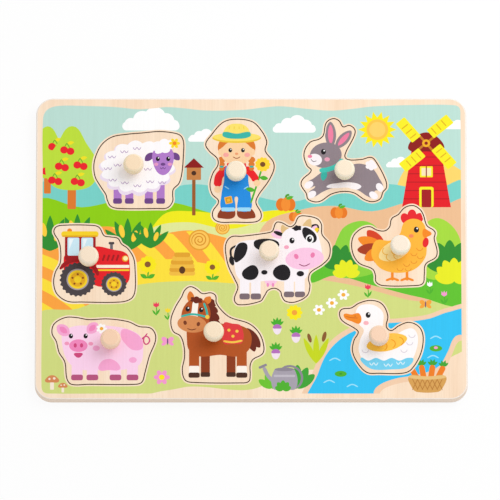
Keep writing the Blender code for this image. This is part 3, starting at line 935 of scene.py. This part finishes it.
SKIN, PLAIT, SHIRT, BOOT = "FBD3A4", "DE7B2C", "ED1C24", "8E3A1A"
DENIM, DENIM_PALE = "1F8EE4", "9FDCF8"
STRAW, STRAW_SHADE = "FBE26A", "EFC93C"

add_puzzle_piece(
    "farmer",
    *patches(BOOT, [(-15.6, -33.4), (-14.4, -30), (-11.8, -27.6), (-4.4, -27.6), (-4.2, -34.4),
                    (-14.8, -34.8)],
             [(11, -33.4), (9.8, -30), (7.2, -27.6), (-0.8, -27.6), (-0.6, -34.4), (10.2, -34.8)]),
    (SHIRT, stroke([(-7, 2), (-14, -3.4), (-15.6, -11.6)], 5.6, 14)), (SKIN, ellipse(-15.4, -13.8, 2.5)),
    (DENIM, smooth([(-9.6, 3), (-11, -8), (-12.8, -18), (-12.4, -28.6), (-3.6, -28.6), (-2.4, -19),
                    (-1.2, -28.6), (7.4, -28.6), (7.6, -18), (6, -8), (5, 3), (-2.3, 5)])),
    *legs((-12.8, -1.6), (DENIM_PALE, 0, -29.8, 9.4, -27, 0.9)),
    *[(ink, turned(block(-half, -half, half, half, radius), -7.8, -21.6, 12)) for ink, half, radius in
      (("F7B733", 2.6, 0.6), ("C77A1E", 1.7, 0.4), ("F7B733", 1.2, 0.3))],
    (DENIM_PALE, stroke([(-10.6, -11.4), (-7.4, -13.6)], 0.7)),
    (DENIM_PALE, stroke([(6, -11.4), (2.8, -13.6)], 0.7)),
    (SHIRT, block(-9, 0.6, 4.4, 6.4, 2)), (DENIM, block(-7.6, -5, -5, 6, 0.8)),
    (DENIM, block(0.4, -5, 3, 6, 0.8)),
    (GREEN, stroke([(7.6, -24), (9.8, -17), (12.6, -8), (15.2, 1)], 1.3, 14)),
    (GREEN, leaf(10.6, -14.6, 6.6, 3.4, 168, 1.4)), (GREEN, leaf(13.8, -5, 6, 3.2, -8, 1.4)),
    *petals("FFD92E", "7A4A20", 16, 4.6, 5.2, 11),
    (SHIRT, stroke([(3.6, 2), (8.6, -2.6), (11.6, -7.4)], 5.2, 14)), (SKIN, ellipse(12, -9.2, 2.4)),
    *[(PLAIT, ellipse(x, y, size, size * 0.9, count=22)) for x in (-12.6, 8.2)
      for y, size in ((8, 2.6), (4.6, 2.2), (1.6, 1.8))],
    *[(TEAL, ellipse(x, 2.9, 1.5, 0.8, count=14)) for x in (-12.6, 8.2)],
    (PLAIT, ellipse(-2.2, 17, 13.2, 10.6)),
    (SKIN, ellipse(-13.2, 13.6, 1.9, 2.5)), (SKIN, ellipse(8.8, 13.6, 1.9, 2.5)),
    (SKIN, ellipse(-2.2, 14, 11.2, 10)),
    (PLAIT, smooth([(-13.6, 17), (-11, 23), (-2.2, 26), (6.6, 23), (9.2, 17), (4.4, 20.2), (-2.2, 22.2),
                    (-8.8, 20.2)])),
    (STRAW_SHADE, ellipse(-2.2, 24, 17, 3.7)), (STRAW, ellipse(-2.2, 24.8, 16.6, 3.1)),
    (STRAW, smooth([(-11.4, 25), (-10.6, 30.4), (-7, 33.8), (-2.2, 34.6), (2.6, 33.8), (6.2, 30.4), (7, 25),
                    (-2.2, 23.4)])),
    (TEAL, smooth([(-11.5, 25), (-11.2, 28.4), (-2.2, 27.2), (6.8, 28.4), (7.1, 25), (-2.2, 23.4)])),
    *[(STRAW_SHADE, stroke([(x, 30.4), (x * 0.92 - 0.18, 32.6)], 0.5)) for x in (-7.4, -4, -0.4, 3)],
    *oval_eyes(1.6, (-6.6, 15), (2.2, 15)), *blush("F9A9A0", 2.0, (-9.6, 11.6), (5.2, 11.6)),
    ("F0A172", ellipse(-2.2, 12.4, 1.2, 0.9, count=18)),
    ("9A4A2A", stroke([(-4.8, 10.2), (-2.2, 9), (0.4, 10.2)], 0.6)))

# Rabbit
# Printed plywood, sawn, drilled and loose like the others: a grey rabbit in mid leap, with white paws and a
# scarf. The knob stands on its flank.

FUR, FUR_PALE, EAR_PINK = "8F8188", "FBF4F7", "F07FA2"

add_puzzle_piece(
    "rabbit",
    (FUR, leaf(-5.6, 9, 16.8, 7.6, 50, 1.7)), (EAR_PINK, leaf(-4, 11, 12.2, 3.6, 50, 1.7)),
    (FUR, leaf(-9, 9, 19.6, 7.8, 91, 1.7)), (EAR_PINK, leaf(-9, 12, 14.4, 3.8, 91, 1.7)),
    (FUR, smooth([(-8, -2), (-14, -7.2), (-21, -13), (-26.2, -16.4), (-26.8, -19), (-23.6, -20.2),
                  (-20, -19.2), (-24.2, -23), (-24.4, -26.2), (-20.4, -26.6), (-15, -23.2), (-8, -20.4),
                  (2, -19.6), (10, -22), (16.2, -26.2), (20.6, -27.8), (22.8, -25.8), (21.4, -22.6),
                  (25.6, -21.8), (27.4, -19.2), (25.2, -14), (19.8, -5.6), (12, -2.4), (4, -2.8),
                  (-1.4, -0.4)])),
    *[(FUR_PALE, ellipse(x, y, 3.4, 2.4, turn)) for x, y, turn in
      ((-24.4, -17.9, 35), (-22.4, -25, 35), (20.6, -25.6, -40), (25, -19.8, -60))],
    (FUR_PALE, smooth([(-12, -19), (-4, -16.6), (4, -16), (12, -18.6), (9, -21.4), (2, -19.9),
                       (-7, -20.3)])),
    (FUR_PALE, scalloped(19.2, -3.4, 4.4, 3.9, 6, 0.2)),
    (FUR, ellipse(-12.6, 3.8, 11.2, 9.4, 10)),
    (FUR_PALE, ellipse(-20.2, 0.6, 5, 4.3, -12)),
    (TEAL, leaf(-13, -7, 8, 4.4, 258, 1.6)),
    ("45C8B8", stroke([(-17, -7.4), (-11, -6.6), (-4.4, -3.6), (-0.6, 1)], 3.4, 14)),
    *oval_eyes(2.1, (-14.2, 6.4)), *blush("E8A0B8", 1.9, (-11.6, 0.8)),
    (EAR_PINK, ellipse(-23.6, 3, 1.6, 1.2, count=20)),
    ("6B5A63", stroke([(-23, 1), (-21.2, -0.8), (-19, -0.2)], 0.5)))

# Tractor
# Printed plywood, sawn, drilled and loose like the others: a red tractor with a yellow roof, and its big
# treaded wheel at the back.

TRACTOR_RED, TRACTOR_DARK, TRACTOR_YELLOW, TYRE = "E61B23", "A5141A", "F9D423", "4A4245"


def treaded_wheel(x, y, radius, lugs):
    """A tyre with square lugs, and a yellow hub with five bolts."""
    angle = np.arange(lugs * 4) * math.tau / (lugs * 4)
    reach = radius * np.where(np.arange(lugs * 4) % 4 < 2, 1.0, 0.93)
    tyre = circled(angle, reach) + (x, y)
    bolts = [turned([(radius * 0.3, 0)], x, y, turn)[0] for turn in range(18, 378, 72)]
    return [(TYRE, tyre), ("A79DA2", ellipse(x, y, radius * 0.62)),
            (TRACTOR_YELLOW, ellipse(x, y, radius * 0.54)),
            ("E9AE1C", ellipse(x, y, radius * 0.42)), (TRACTOR_YELLOW, ellipse(x, y, radius * 0.2)),
            *[("8A4A12", ellipse(*bolt, radius * 0.06, count=12)) for bolt in bolts]]


add_puzzle_piece(
    "tractor",
    ("6F6A70", block(10.8, 6, 12.8, 14.6, 0.5)), (TYRE, block(9.8, 13.8, 13.8, 15.6, 0.7)),
    (TRACTOR_RED, smooth([(-2, 10.4), (14, 9.8), (22.4, 7), (24.4, 0), (24.4, -11), (22, -14.6),
                          (-2, -14.4)], 8)),
    ("FFF4E0", block(-1, -3.4, 24.3, -1.2, 0.4)), (TRACTOR_YELLOW, block(-1, -5.6, 24.3, -4.4, 0.4)),
    *[(TRACTOR_DARK, turned(block(-0.7, -2.4, 0.7, 2.4, 0.6), x, 4, -18)) for x in (6.4, 9.6, 12.8, 16)],
    ("F2A21C", ellipse(21.4, 3.4, 2.3)), ("FFF3B0", ellipse(21.6, 3.6, 1.6)),
    (TRACTOR_RED, block(-21.4, -12, 1.4, 6, 2)),
    (TRACTOR_DARK, block(-20.6, 2, 0.8, 20.6, 1.6)),
    ("CDEBF8", block(-18.8, 5.6, -10.6, 18.8, 1)), ("CDEBF8", block(-9.2, 5.6, -1, 18.8, 1)),
    ("F1FAFE", [(-17.6, 17.8), (-14.6, 17.8), (-17.6, 10)]), ("F1FAFE", [(-8, 17.8), (-5, 17.8), (-8, 10)]),
    (ORANGE, ellipse(-17.4, 23.8, 1.7)), (TRACTOR_YELLOW, block(-23.2, 19.2, 2.8, 23.4, 1.9)),
    ("E9AE1C", block(-22.6, 19.2, 2.2, 20.4, 0.6)),
    (TRACTOR_DARK, arch(-11.6, -11.8, 14.4, 0.2, 2.6, 3)),
    *treaded_wheel(-11.6, -11.8, 12.6, 22), *treaded_wheel(13.6, -15.2, 9, 18))

# Cow
# Printed plywood, sawn, drilled and loose like the others: a white cow with black patches, a pink muzzle
# and an ear tag.

HIDE, MUZZLE_PINK, HORN, HOOF = "FCF5F9", "FCC9E6", "E3BF85", "7D6B72"

add_puzzle_piece(
    "cow",
    (INK_BLACK, stroke([(-29, 11), (-32.6, 8), (-32.4, 1.6)], 1.5)),
    (INK_BLACK, leaf(-32.6, 3.6, 7.4, 4, 281, 1.6)),
    *legs((-26.4, -18.6), (HIDE, 0, -25, 6.6, -9, 1.6), (HOOF, -0.3, -28.4, 6.9, -24, 1.5)),
    *legs((4.4, 12), (HIDE, 0, -23.6, 6.6, -9, 1.6), (HOOF, -0.3, -26.8, 6.9, -22.6, 1.5)),
    (MUZZLE_PINK, ellipse(-5, -14.2, 4.4, 4)),
    *[("F08FC4", ellipse(x, -17.8, 0.9, 1.5, count=14)) for x in (-7, -3.4)],
    (HIDE, smooth([(-30, -4), (-30.4, 7.6), (-26.6, 13.4), (-12, 15.4), (4, 16), (16, 10), (21, -2),
                   (20, -12), (12, -15.4), (-6, -14.6), (-22, -16), (-28, -12)])),
    *patches(INK_BLACK, [(-29.8, -1), (-30, 7.4), (-26.6, 12.8), (-21.6, 12), (-22, 5.4), (-25.6, 0.6)],
             [(-15.6, 14.8), (-4, 15.6), (1, 12), (-3, 6.4), (-11, 7), (-16.4, 10.4)],
             [(-22.4, -5.6), (-16.6, -3.4), (-13.4, -8), (-16, -13.4), (-22.4, -13.6), (-25, -9.6)],
             [(-1.6, -5), (4.6, -3), (8.6, -7.6), (7, -13.6), (0.8, -14), (-3.4, -9.8)]),
    (INK_BLACK, ellipse(-9.4, -8.6, 2.2, 1.7)), (INK_BLACK, ellipse(15.6, -9.6, 2.6, 2)),
    (MUZZLE_PINK, leaf(4.6, 17.4, 10.6, 6.4, 158, 1.7)), (INK_BLACK, leaf(5, 18, 9, 3, 158, 1.4)),
    (INK_BLACK, leaf(22.4, 19.4, 8.8, 7, 52, 1.8)), (MUZZLE_PINK, leaf(23.8, 21.2, 5.4, 3.6, 52, 1.6)),
    (TRACTOR_YELLOW, turned(block(-1.3, -1.7, 1.3, 1.7, 0.6), 26.9, 22.4, -25)),
    *patches(HORN, [(2.6, 20.6), (2.2, 24.4), (3.4, 26.2), (5.2, 24.8), (8.8, 22.6), (5.6, 19)],
             [(17.4, 24.2), (19.4, 28.8), (22.4, 30.4), (23.4, 28.4), (22.6, 23.6)]),
    (HIDE, smooth([(2.4, 14), (3.2, 19.4), (8, 23.8), (14, 25), (22, 24.6), (27, 20.4), (29.4, 13),
                   (30.4, 4), (24, -5), (12, -5.6), (4.6, 0), (2.4, 8)])),
    (INK_BLACK, smooth([(17.8, 24), (23, 22.6), (26.8, 18), (26.2, 13.8), (21.8, 13.4), (17.6, 18)])),
    (INK_BLACK, scalloped(13.2, 23.8, 3.6, 2.2, 5, 0.25)),
    (MUZZLE_PINK, ellipse(18.6, 1.4, 13.4, 8, 5)),
    ("EE7FB0", ellipse(12.8, 3, 1.5, 2.0, 24, 20)), ("EE7FB0", ellipse(24.2, 4, 1.5, 2.0, -14, 20)),
    ("9A4A6E", stroke([(14.6, -2.6), (18.4, -4), (22.4, -2.2)], 0.7)),
    (WHITE, ellipse(22.2, 15.8, 2.7, 3.1)), *oval_eyes(2.2, (9.8, 14.6), (22, 15.6)),
    *blush("F9A9C4", 1.8, (6, 9.8)))

# Hen
# Printed plywood, sawn, drilled and loose like the others: an amber hen with a red comb, a fan of tail
# feathers and a cream wing.

PLUMAGE, PLUMAGE_LINE, COMB = "FFB93B", "E8952A", "E8232B"

add_puzzle_piece(
    "hen",
    *[(COMB, ellipse(x, y, 3.1, 4.2, turn))
      for x, y, turn in ((7.8, 19.6, 24), (12.4, 22.2, 0), (17, 19.8, -24))],
    *[(ink, leaf(-7, -2, length, 8.6, turn, 1.8)) for ink, length, turn in
      (("D8401E", 17.5, 132), (ORANGE, 19.6, 158), ("A83A1A", 18.8, 184), (ORANGE, 16, 212),
       ("D8401E", 12.4, 238))],
    *legs((-2.4, 7.8), (ORANGE, 0, -24.8, 1.9, -16, 0.6)),
    *[(ORANGE, stroke([(x + reach, -25.6), (x, -23.8)], 1.7, 14)) for x in (-1.4, 8.8)
      for reach in (-4.6, 0, 4.6)],
    (PLUMAGE, smooth([(-12, 4), (-3, 3.6), (3.6, 8), (6.6, 16.4), (13, 19.6), (20, 16.8), (22.4, 9),
                      (22.6, 0), (21.4, -9), (14, -17.4), (3, -20), (-8.6, -17.4), (-15.2, -9.4),
                      (-15.6, -2)])),
    *[(PLUMAGE_LINE, arch(x, y, 2.1, math.pi, math.tau, 0.6)) for x, y in
      ((17.6, -1.6), (13.6, -5.4), (18, -7.6), (13.6, -11), (8.6, -13.2), (4, -16.4), (9.6, -16.6))],
    ("FFE39A", leaf(11.4, 2, 24.6, 13.6, 207, 1.9)),
    *[("F2B84A", arch(x, y, 2.6, 2.1, 4.9, 0.7))
      for x, y in ((-5.6, -4), (-3, -8.4), (0.8, -4), (2.2, -7.4))],
    (COMB, ellipse(21.8, 2.2, 2.1, 3.6, -10)),
    (ORANGE, smooth([(20.4, 12), (24, 10.8), (26, 8.6), (23.6, 6.6), (20.4, 6)])),
    *oval_eyes(2.2, (15.4, 11.6)), *blush("F58A5A", 1.7, (11.8, 7)))

# Pig
# Printed plywood, sawn, drilled and loose like the others: a pink pig with soft patches and a daisy by its
# ear. The knob stands beside its snout.

PIG_PINK, PIG_PATCH, PIG_ROSE, PIG_DEEP = "FFD5F0", "FAAAD6", "F58AC0", "D2477E"

add_puzzle_piece(
    "pig",
    (PIG_DEEP, stroke([(25, 7), (29.6, 10.6), (32, 7.6), (29.4, 4.8), (27.8, 8.4), (30.4, 12.8)], 1.0, 14)),
    *legs((-22, -11.4, 4.6, 16.4), (PIG_PINK, 0, -19.6, 7.6, -6, 1.8),
          ("B9557F", -0.3, -21.4, 7.9, -17.2, 1.5)),
    (PIG_PINK, smooth([(-29, 8), (-27.6, 14), (-20, 18), (-8, 18.4), (6, 18), (18, 15.4), (26, 10),
                       (27.6, 0), (25, -10), (14, -13.6), (-4, -14), (-18, -13), (-25.6, -6)])),
    *patches(PIG_PATCH, [(13.4, 15.8), (20, 14.2), (26, 9.4), (27, 2), (20.6, 0.6), (15.2, 5), (12, 10.6)],
             [(-3, -13.8), (-1.6, -8), (4, -5.8), (9.6, -8.4), (11.4, -13.4), (4, -13.9)]),
    (PIG_PATCH, ellipse(20.4, -6.6, 2.7, 2.1)), (PIG_PATCH, ellipse(-5, 2, 2.4, 2)),
    (PIG_PATCH, leaf(-24, 11.6, 10.6, 8, 139, 1.8)), (PIG_PATCH, leaf(-11, 13, 9.8, 7.6, 48, 1.8)),
    (PIG_ROSE, leaf(-25.4, 13, 6.6, 4, 139, 1.6)), (PIG_ROSE, leaf(-9.8, 14.4, 6, 3.8, 48, 1.6)),
    (PIG_ROSE, ellipse(-17.4, 3.8, 6.4, 4.6)),
    *[(PIG_DEEP, ellipse(x, 4, 1.1, 1.6, count=16)) for x in (-19.6, -15.2)],
    *oval_eyes(1.8, (-22.6, 10.8), (-12.4, 10.8)), *blush("F79CC0", 1.7, (-25.4, 5.4), (-8.8, 5.2)),
    (PIG_DEEP, smooth([(-20.4, -2), (-17.4, -1.4), (-14.4, -2), (-15.6, -4.2), (-17.4, -5),
                       (-19.2, -4.2)])),
    *petals(WHITE, "F6B23C", -1.4, 16.2, 3.6, 7))

# Horse
# Printed plywood, sawn, drilled and loose like the others: a chestnut horse with a white blaze, a halter
# and a red blanket.

CHESTNUT, CHESTNUT_FAR, MANE, SOCK = "B5531B", "8E3A14", "6B2412", "FFF6EC"
HORSE_HOOF, NOSTRIL, GOLD = "4A2A1C", "7A3A1C", "F8CC4A"

add_puzzle_piece(
    "horse",
    (MANE, leaf(20, 5, 18, 7, -71, 1.7)), (MANE, leaf(20, 5, 17, 7, -56, 1.7)),
    *legs((-11.4, 6.4), (CHESTNUT_FAR, 0, -28.4, 6.2, -6, 1), (HORSE_HOOF, -0.2, -30.4, 6.4, -27, 1)),
    *legs((-19.6, 13.4), (CHESTNUT, 0, -28, 7, -6, 1), (SOCK, 0, -29, 7, -22.4, 0.8),
          (HORSE_HOOF, -0.4, -31, 7.4, -27.2, 1.3)),
    (CHESTNUT, smooth([(-20.6, 6), (-21.2, -2), (-19.6, -11), (-12, -15.6), (2, -14.4), (14, -15.6),
                       (21.6, -11), (23.8, -2), (21, 4.4), (12, 8), (2, 8.6), (-4, 14), (-14, 14)])),
    ("E23B3F", smooth([(4.4, 8.6), (10.4, 8.4), (16.4, 6.6), (17.4, -5.2), (10.6, -6.4), (4.2, -5.6)])),
    (GOLD, stroke([(4.2, -4.4), (10.6, -5.2), (17.3, -4)], 1.5, 20)),
    *[(GOLD, ellipse(x, y, 1.1, count=16)) for x, y in ((8, 3.6), (13.6, 2.8), (10.8, -0.8))],
    *[(MANE, leaf(x, y, 9.4, 6, turn, 1.8)) for x, y, turn in
      ((-9.4, 25.4, -22), (-8, 21, -28), (-6.6, 16.4, -33), (-5.4, 11.8, -38))],
    ("E07A2B", leaf(-18, 22.6, 9.4, 5, 96, 1.6)), ("E07A2B", leaf(-9.2, 22.6, 7, 5, 50, 1.6)),
    (CHESTNUT, smooth([(-21.4, 23.4), (-15, 26.6), (-8.6, 24.6), (-5, 18), (-6, 10.6), (-13, 6.6),
                       (-23, 7.8), (-25, 15)])),
    (SOCK, smooth([(-16.6, 24.8), (-13.6, 24.8), (-13.8, 17), (-14.4, 11), (-20, 11), (-18, 17)])),
    ("D98B52", ellipse(-17.6, 8, 10.2, 6.2, -6)),
    *[(NOSTRIL, ellipse(x, y, 1.2, 1.6, turn, 18)) for x, y, turn in ((-22.4, 9, 14), (-13.2, 8, -14))],
    (NOSTRIL, stroke([(-21, 4.8), (-17.8, 3.8), (-14.6, 4.6)], 0.7)),
    (TEAL, stroke([(-25.2, 13.6), (-17, 15.2), (-6.6, 13)], 1.5, 20)),
    (TEAL, stroke([(-6.8, 13), (-7.6, 18), (-9.4, 23.4)], 1.5, 20)),
    (GOLD, ellipse(-7, 13.2, 1.5, count=18)),
    (MANE, scalloped(-14.6, 25.6, 4.6, 2.6, 6, 0.25, -8)),
    *oval_eyes(1.9, (-20.6, 19), (-11.2, 18.4)))

# Duck
# Printed plywood, sawn, drilled and loose like the others: a white duck with an amber wing, afloat on a
# strip of water.

add_puzzle_piece(
    "duck",
    ("FFFBFC", smooth([(-15.6, 22), (-18, 16), (-15.4, 8.6), (-12.4, 4.6), (-14.8, -2), (-16, -10),
                       (-12.6, -18), (-8, -22.8), (4, -23.4), (14, -23), (20, -18.4), (24.2, -9), (25, 0),
                       (22.2, 5.4), (17.4, 5.4), (10, 1.6), (3.6, -0.6), (0.4, 3.6), (1, 10), (1, 17),
                       (-3, 21.6), (-9, 23.4)])),
    ("74D2F2", smooth([(-14.6, -15.6), (-9.4, -17.6), (-4, -15.6), (1.4, -17.6), (6.8, -15.6),
                       (12.2, -17.6), (17.6, -15.6), (22, -16.6), (17, -22.6), (6, -24), (-6, -24),
                       (-12, -20.6)])),
    *[wavelet("D6F2FC", x, y, 3, 0.7) for x, y in ((-5.6, -20.2), (4.4, -21), (13, -19.6))],
    ("FFC94A", leaf(-10.6, -7.6, 29, 12.6, 13, 1.9)),
    *[("F09E1E", arch(x, y, 3, -1.2, 1.6, 0.7)) for x, y in ((0.6, -7.2), (6.4, -5.4), (12, -3.6))],
    *[("DCD3DE", arch(x, y, 2.2, math.pi, math.tau, 0.6))
      for x, y in ((19.4, -4), (21, 1.4), (15.4, -9.4), (-11.4, -9.6))],
    (ORANGE, smooth([(-15.4, 16.6), (-21, 16), (-26, 16.4), (-25.6, 13.2), (-21, 11), (-15, 9.6)])),
    ("C8641A", stroke([(-25.2, 14.6), (-20.4, 13.6), (-16.4, 13.4)], 0.5)),
    ("C8641A", ellipse(-18.4, 14.8, 0.6, 0.4, count=12)),
    *blush("FBB6C0", 1.9, (-10.8, 9.8)), *oval_eyes(2.1, (-9.4, 15.6)))

# Knobs
# Nine knobs turned from beech: a flat top with a rounded shoulder, a body that narrows to a short neck, and
# a 6 mm spigot glued into its piece. The grain runs upright, so the top shows end grain.

KNOB_SEAT = 8.3
KNOB_HEIGHT, KNOB_SHOULDER, KNOB_NECK_HEIGHT = 13.7, 4.2, 1.2
KNOB_TOP, KNOB_WIDEST, KNOB_NECK, SPIGOT = 4.7, 7.1, 4.1, 3.0
SPIGOT_FOOT = -4.9
KNOB_CROWN, NECK_CHAMFER, SPIGOT_CHAMFER = 0.12, 0.12, 0.3
FACE_SHARE, SHOULDER_START = 0.97, 0.14
FACE_STEPS, SHOULDER_STEPS, BODY_STEPS, KNOB_SPOKES = 9, 18, 22, 72
# How far the pith of the wood lies from a knob's axis
PITH = (9.0, 4.0, 0.0)


def knob_profile():
    """(radius, height over the seat) from the top of the axis to the foot of the spigot: a face that falls
    by its crown times the square of the share of the way out, a shoulder that is a quarter ellipse, a lower
    half whose radius falls by a cosine, and a straight neck and spigot."""
    share = np.linspace(0, 1, FACE_STEPS)
    face = np.stack([KNOB_TOP * share * FACE_SHARE, KNOB_HEIGHT - KNOB_CROWN * share ** 2], 1)
    turn = np.linspace(SHOULDER_START, math.pi / 2, SHOULDER_STEPS)
    foot = KNOB_HEIGHT - KNOB_SHOULDER
    reach = KNOB_TOP + (KNOB_WIDEST - KNOB_TOP) * np.sin(turn)
    shoulder = np.stack([reach, foot + KNOB_SHOULDER * np.cos(turn)], 1)
    share = np.linspace(0, 1, BODY_STEPS)[1:]
    reach = KNOB_NECK + (KNOB_WIDEST - KNOB_NECK) * np.cos(share * math.pi / 2)
    narrowing = np.stack([reach, foot + (KNOB_NECK_HEIGHT - foot) * share], 1)
    base = [(KNOB_NECK, NECK_CHAMFER), (KNOB_NECK - NECK_CHAMFER, 0), (SPIGOT, 0),
            (SPIGOT, SPIGOT_FOOT + SPIGOT_CHAMFER), (SPIGOT - SPIGOT_CHAMFER, SPIGOT_FOOT),
            (0, SPIGOT_FOOT)]
    return np.concatenate([face, shoulder, narrowing, base])


def turned_mesh(name, profile, axis, seat, tint):
    """The profile turned about an upright axis: x and y are the radius times the cosine and sine of the
    spoke's angle. The attribute place keeps each point's place from the knob's own seat in millimetres, and
    tint its wood's colour."""
    angle = np.arange(KNOB_SPOKES) * math.tau / KNOB_SPOKES
    radius, height = profile[:, :1], np.repeat(profile[:, 1:], KNOB_SPOKES, 1)
    points = np.dstack([circled(angle, radius), height]).reshape(-1, 3)
    quads = ring_quads(len(profile), KNOB_SPOKES)
    mesh = bpy.data.meshes.new(name)
    mesh.from_pydata((points + (*axis, seat)) * MM, [], quads.tolist())
    mesh.attributes.new("place", "FLOAT_VECTOR", "POINT").data.foreach_set("vector", points.ravel())
    tints = np.tile([*linear(tint), 1], len(points))
    mesh.color_attributes.new("tint", "FLOAT_COLOR", "POINT").data.foreach_set("color", tints)
    mesh.polygons.foreach_set("use_smooth", np.ones(len(quads), bool))
    return closed(mesh)


def turned_beech():
    """Beech with upright grain: each knob's own tint, growth rings about the pith, fine upright streaks, an
    end grain that is a little darker, and painted shade that darkens the lower body towards the foot."""
    material, tree, shader = new_material("turned_beech_knob", 0.5, 0.35)
    place, tint = (add_node(tree, "Attribute", attribute_name=name, attribute_type="GEOMETRY")
                   for name in ("place", "tint"))
    place = place.outputs["Vector"]
    rays = noise(tree, stretched(tree, place, (1.0, 1.0, 0.07)), 2.2, 3.0)
    beside = stretched(tree, place, (1.0, 1.0, 0.04), PITH)
    inputs = {"Vector": beside, "Scale": 0.32, "Distortion": 1.2, "Detail": 2.0, "Detail Scale": 0.6}
    rings = add_node(tree, "TexWave", inputs, wave_type="RINGS", rings_direction="Z").outputs["Fac"]
    wood = shaded(tree, tint.outputs["Color"], rings, (0.0, (0.97, 0.94, 0.9)), (1.0, FULL))
    wood = shaded(tree, wood, rays, (0.34, (0.94, 0.92, 0.88)), (0.6, FULL))
    # Painted shade: the body below its widest is darkened towards the foot. Near the top, the end grain is a
    # little darker.
    height = add_node(tree, "SeparateXYZ", {"Vector": place}).outputs["Z"]
    raised = sum_of(tree, "DIVIDE", height, KNOB_HEIGHT)
    wood = shaded(tree, wood, raised, (0.4, (0.95, 0.87, 0.79)), (0.76, FULL), (0.974, FULL),
                  (0.986, (0.98, 0.91, 0.86)))
    surfaced(tree, shader, wood, rays, 0.05)
    return material


KNOB_TINTS = {"sheep": "FFEED2", "farmer": "FFF8E6", "rabbit": "FFF8E6", "tractor": "FFF4E2",
              "cow": "FFF3E0", "hen": "FFFAEE", "pig": "FEE0C6", "horse": "FFF3DC", "duck": "FEE2CC"}
knob_wood = turned_beech()
for name, tint in KNOB_TINTS.items():
    knob = turned_mesh(name + "_turned_knob", knob_profile(), middle_of(name + "_knob"), KNOB_SEAT, tint)
    knob.materials.append(knob_wood)
    add_piece(knob, name, "turned_beech", name + "_knob")

# Floor, light and camera
# The board lies on a plain pale floor under a large soft lamp. The camera stands far off and leans 18
# degrees from upright, so the board's sides stay parallel.

FLOOR_HALF, FLOOR_TOP = 3.0, -0.0002
FLOOR_PALE, FLOOR_OWN_WHITE = 0.95, 0.88
DAYLIGHT = 0.74
LAMP_WIDTH, LAMP_POWER, LAMP_PLACE = 1.0, 5.35, (0.56, 0.4, 0.93)
LEAN = math.radians(17.97)
DISTANCE = 7.9
LENS, SENSOR = 818, 36
AIM = Vector((-0.00087, -0.0013, 0.008))


def floor_white():
    """White to the camera, apart from a little of the shade that falls on it, and pale matt elsewhere."""
    material, tree, shader = new_material("floor_white", 0.9)
    shader.inputs["Base Color"].default_value = (FLOOR_PALE, FLOOR_PALE, FLOOR_PALE, 1)
    path = add_node(tree, "LightPath")
    seen = sum_of(tree, "MAXIMUM", path.outputs["Is Camera Ray"], path.outputs["Is Glossy Ray"])
    white = add_node(tree, "Emission", {"Color": (1, 1, 1, 1), "Strength": 1.0}).outputs[0]
    share = sum_of(tree, "MULTIPLY", seen, FLOOR_OWN_WHITE)
    blend = add_node(tree, "MixShader", {0: share, 1: shader.outputs[0], 2: white})
    tree.links.new(blend.outputs[0], tree.nodes["Material Output"].inputs["Surface"])
    return material


floor_mesh = bpy.data.meshes.new("floor")
floor_corners = [(x * FLOOR_HALF, y * FLOOR_HALF, FLOOR_TOP)
                 for x, y in ((-1, -1), (1, -1), (1, 1), (-1, 1))]
floor_mesh.from_pydata(floor_corners, [], [(0, 1, 2, 3)])
floor_mesh.materials.append(floor_white())
floor = bpy.data.objects.new("floor", floor_mesh)
bpy.context.scene.collection.objects.link(floor)

world = bpy.data.worlds.new("studio")
world.use_nodes = True
sky = world.node_tree.nodes["Background"]
sky.inputs["Color"].default_value = (1, 1, 1, 1)
sky.inputs["Strength"].default_value = DAYLIGHT
bpy.context.scene.world = world


def aimed(thing, place, target):
    """Puts a lamp or camera in its place and turns it to face the target."""
    thing.location = place
    thing.rotation_euler = (Vector(target) - Vector(place)).to_track_quat("-Z", "Y").to_euler()
    bpy.context.scene.collection.objects.link(thing)


lamp = bpy.data.lights.new("soft_lamp", "AREA")
lamp.shape = "DISK"
lamp.size = LAMP_WIDTH
lamp.energy = LAMP_POWER
aimed(bpy.data.objects.new("soft_lamp", lamp), LAMP_PLACE, (0, 0, 0))

camera_data = bpy.data.cameras.new("camera")
camera_data.sensor_width = SENSOR
camera_data.lens = LENS
camera = bpy.data.objects.new("camera", camera_data)
aimed(camera, AIM + DISTANCE * Vector((0, -math.sin(LEAN), math.cos(LEAN))), AIM)
bpy.context.scene.camera = camera
bpy.context.scene.view_settings.view_transform = "Standard"
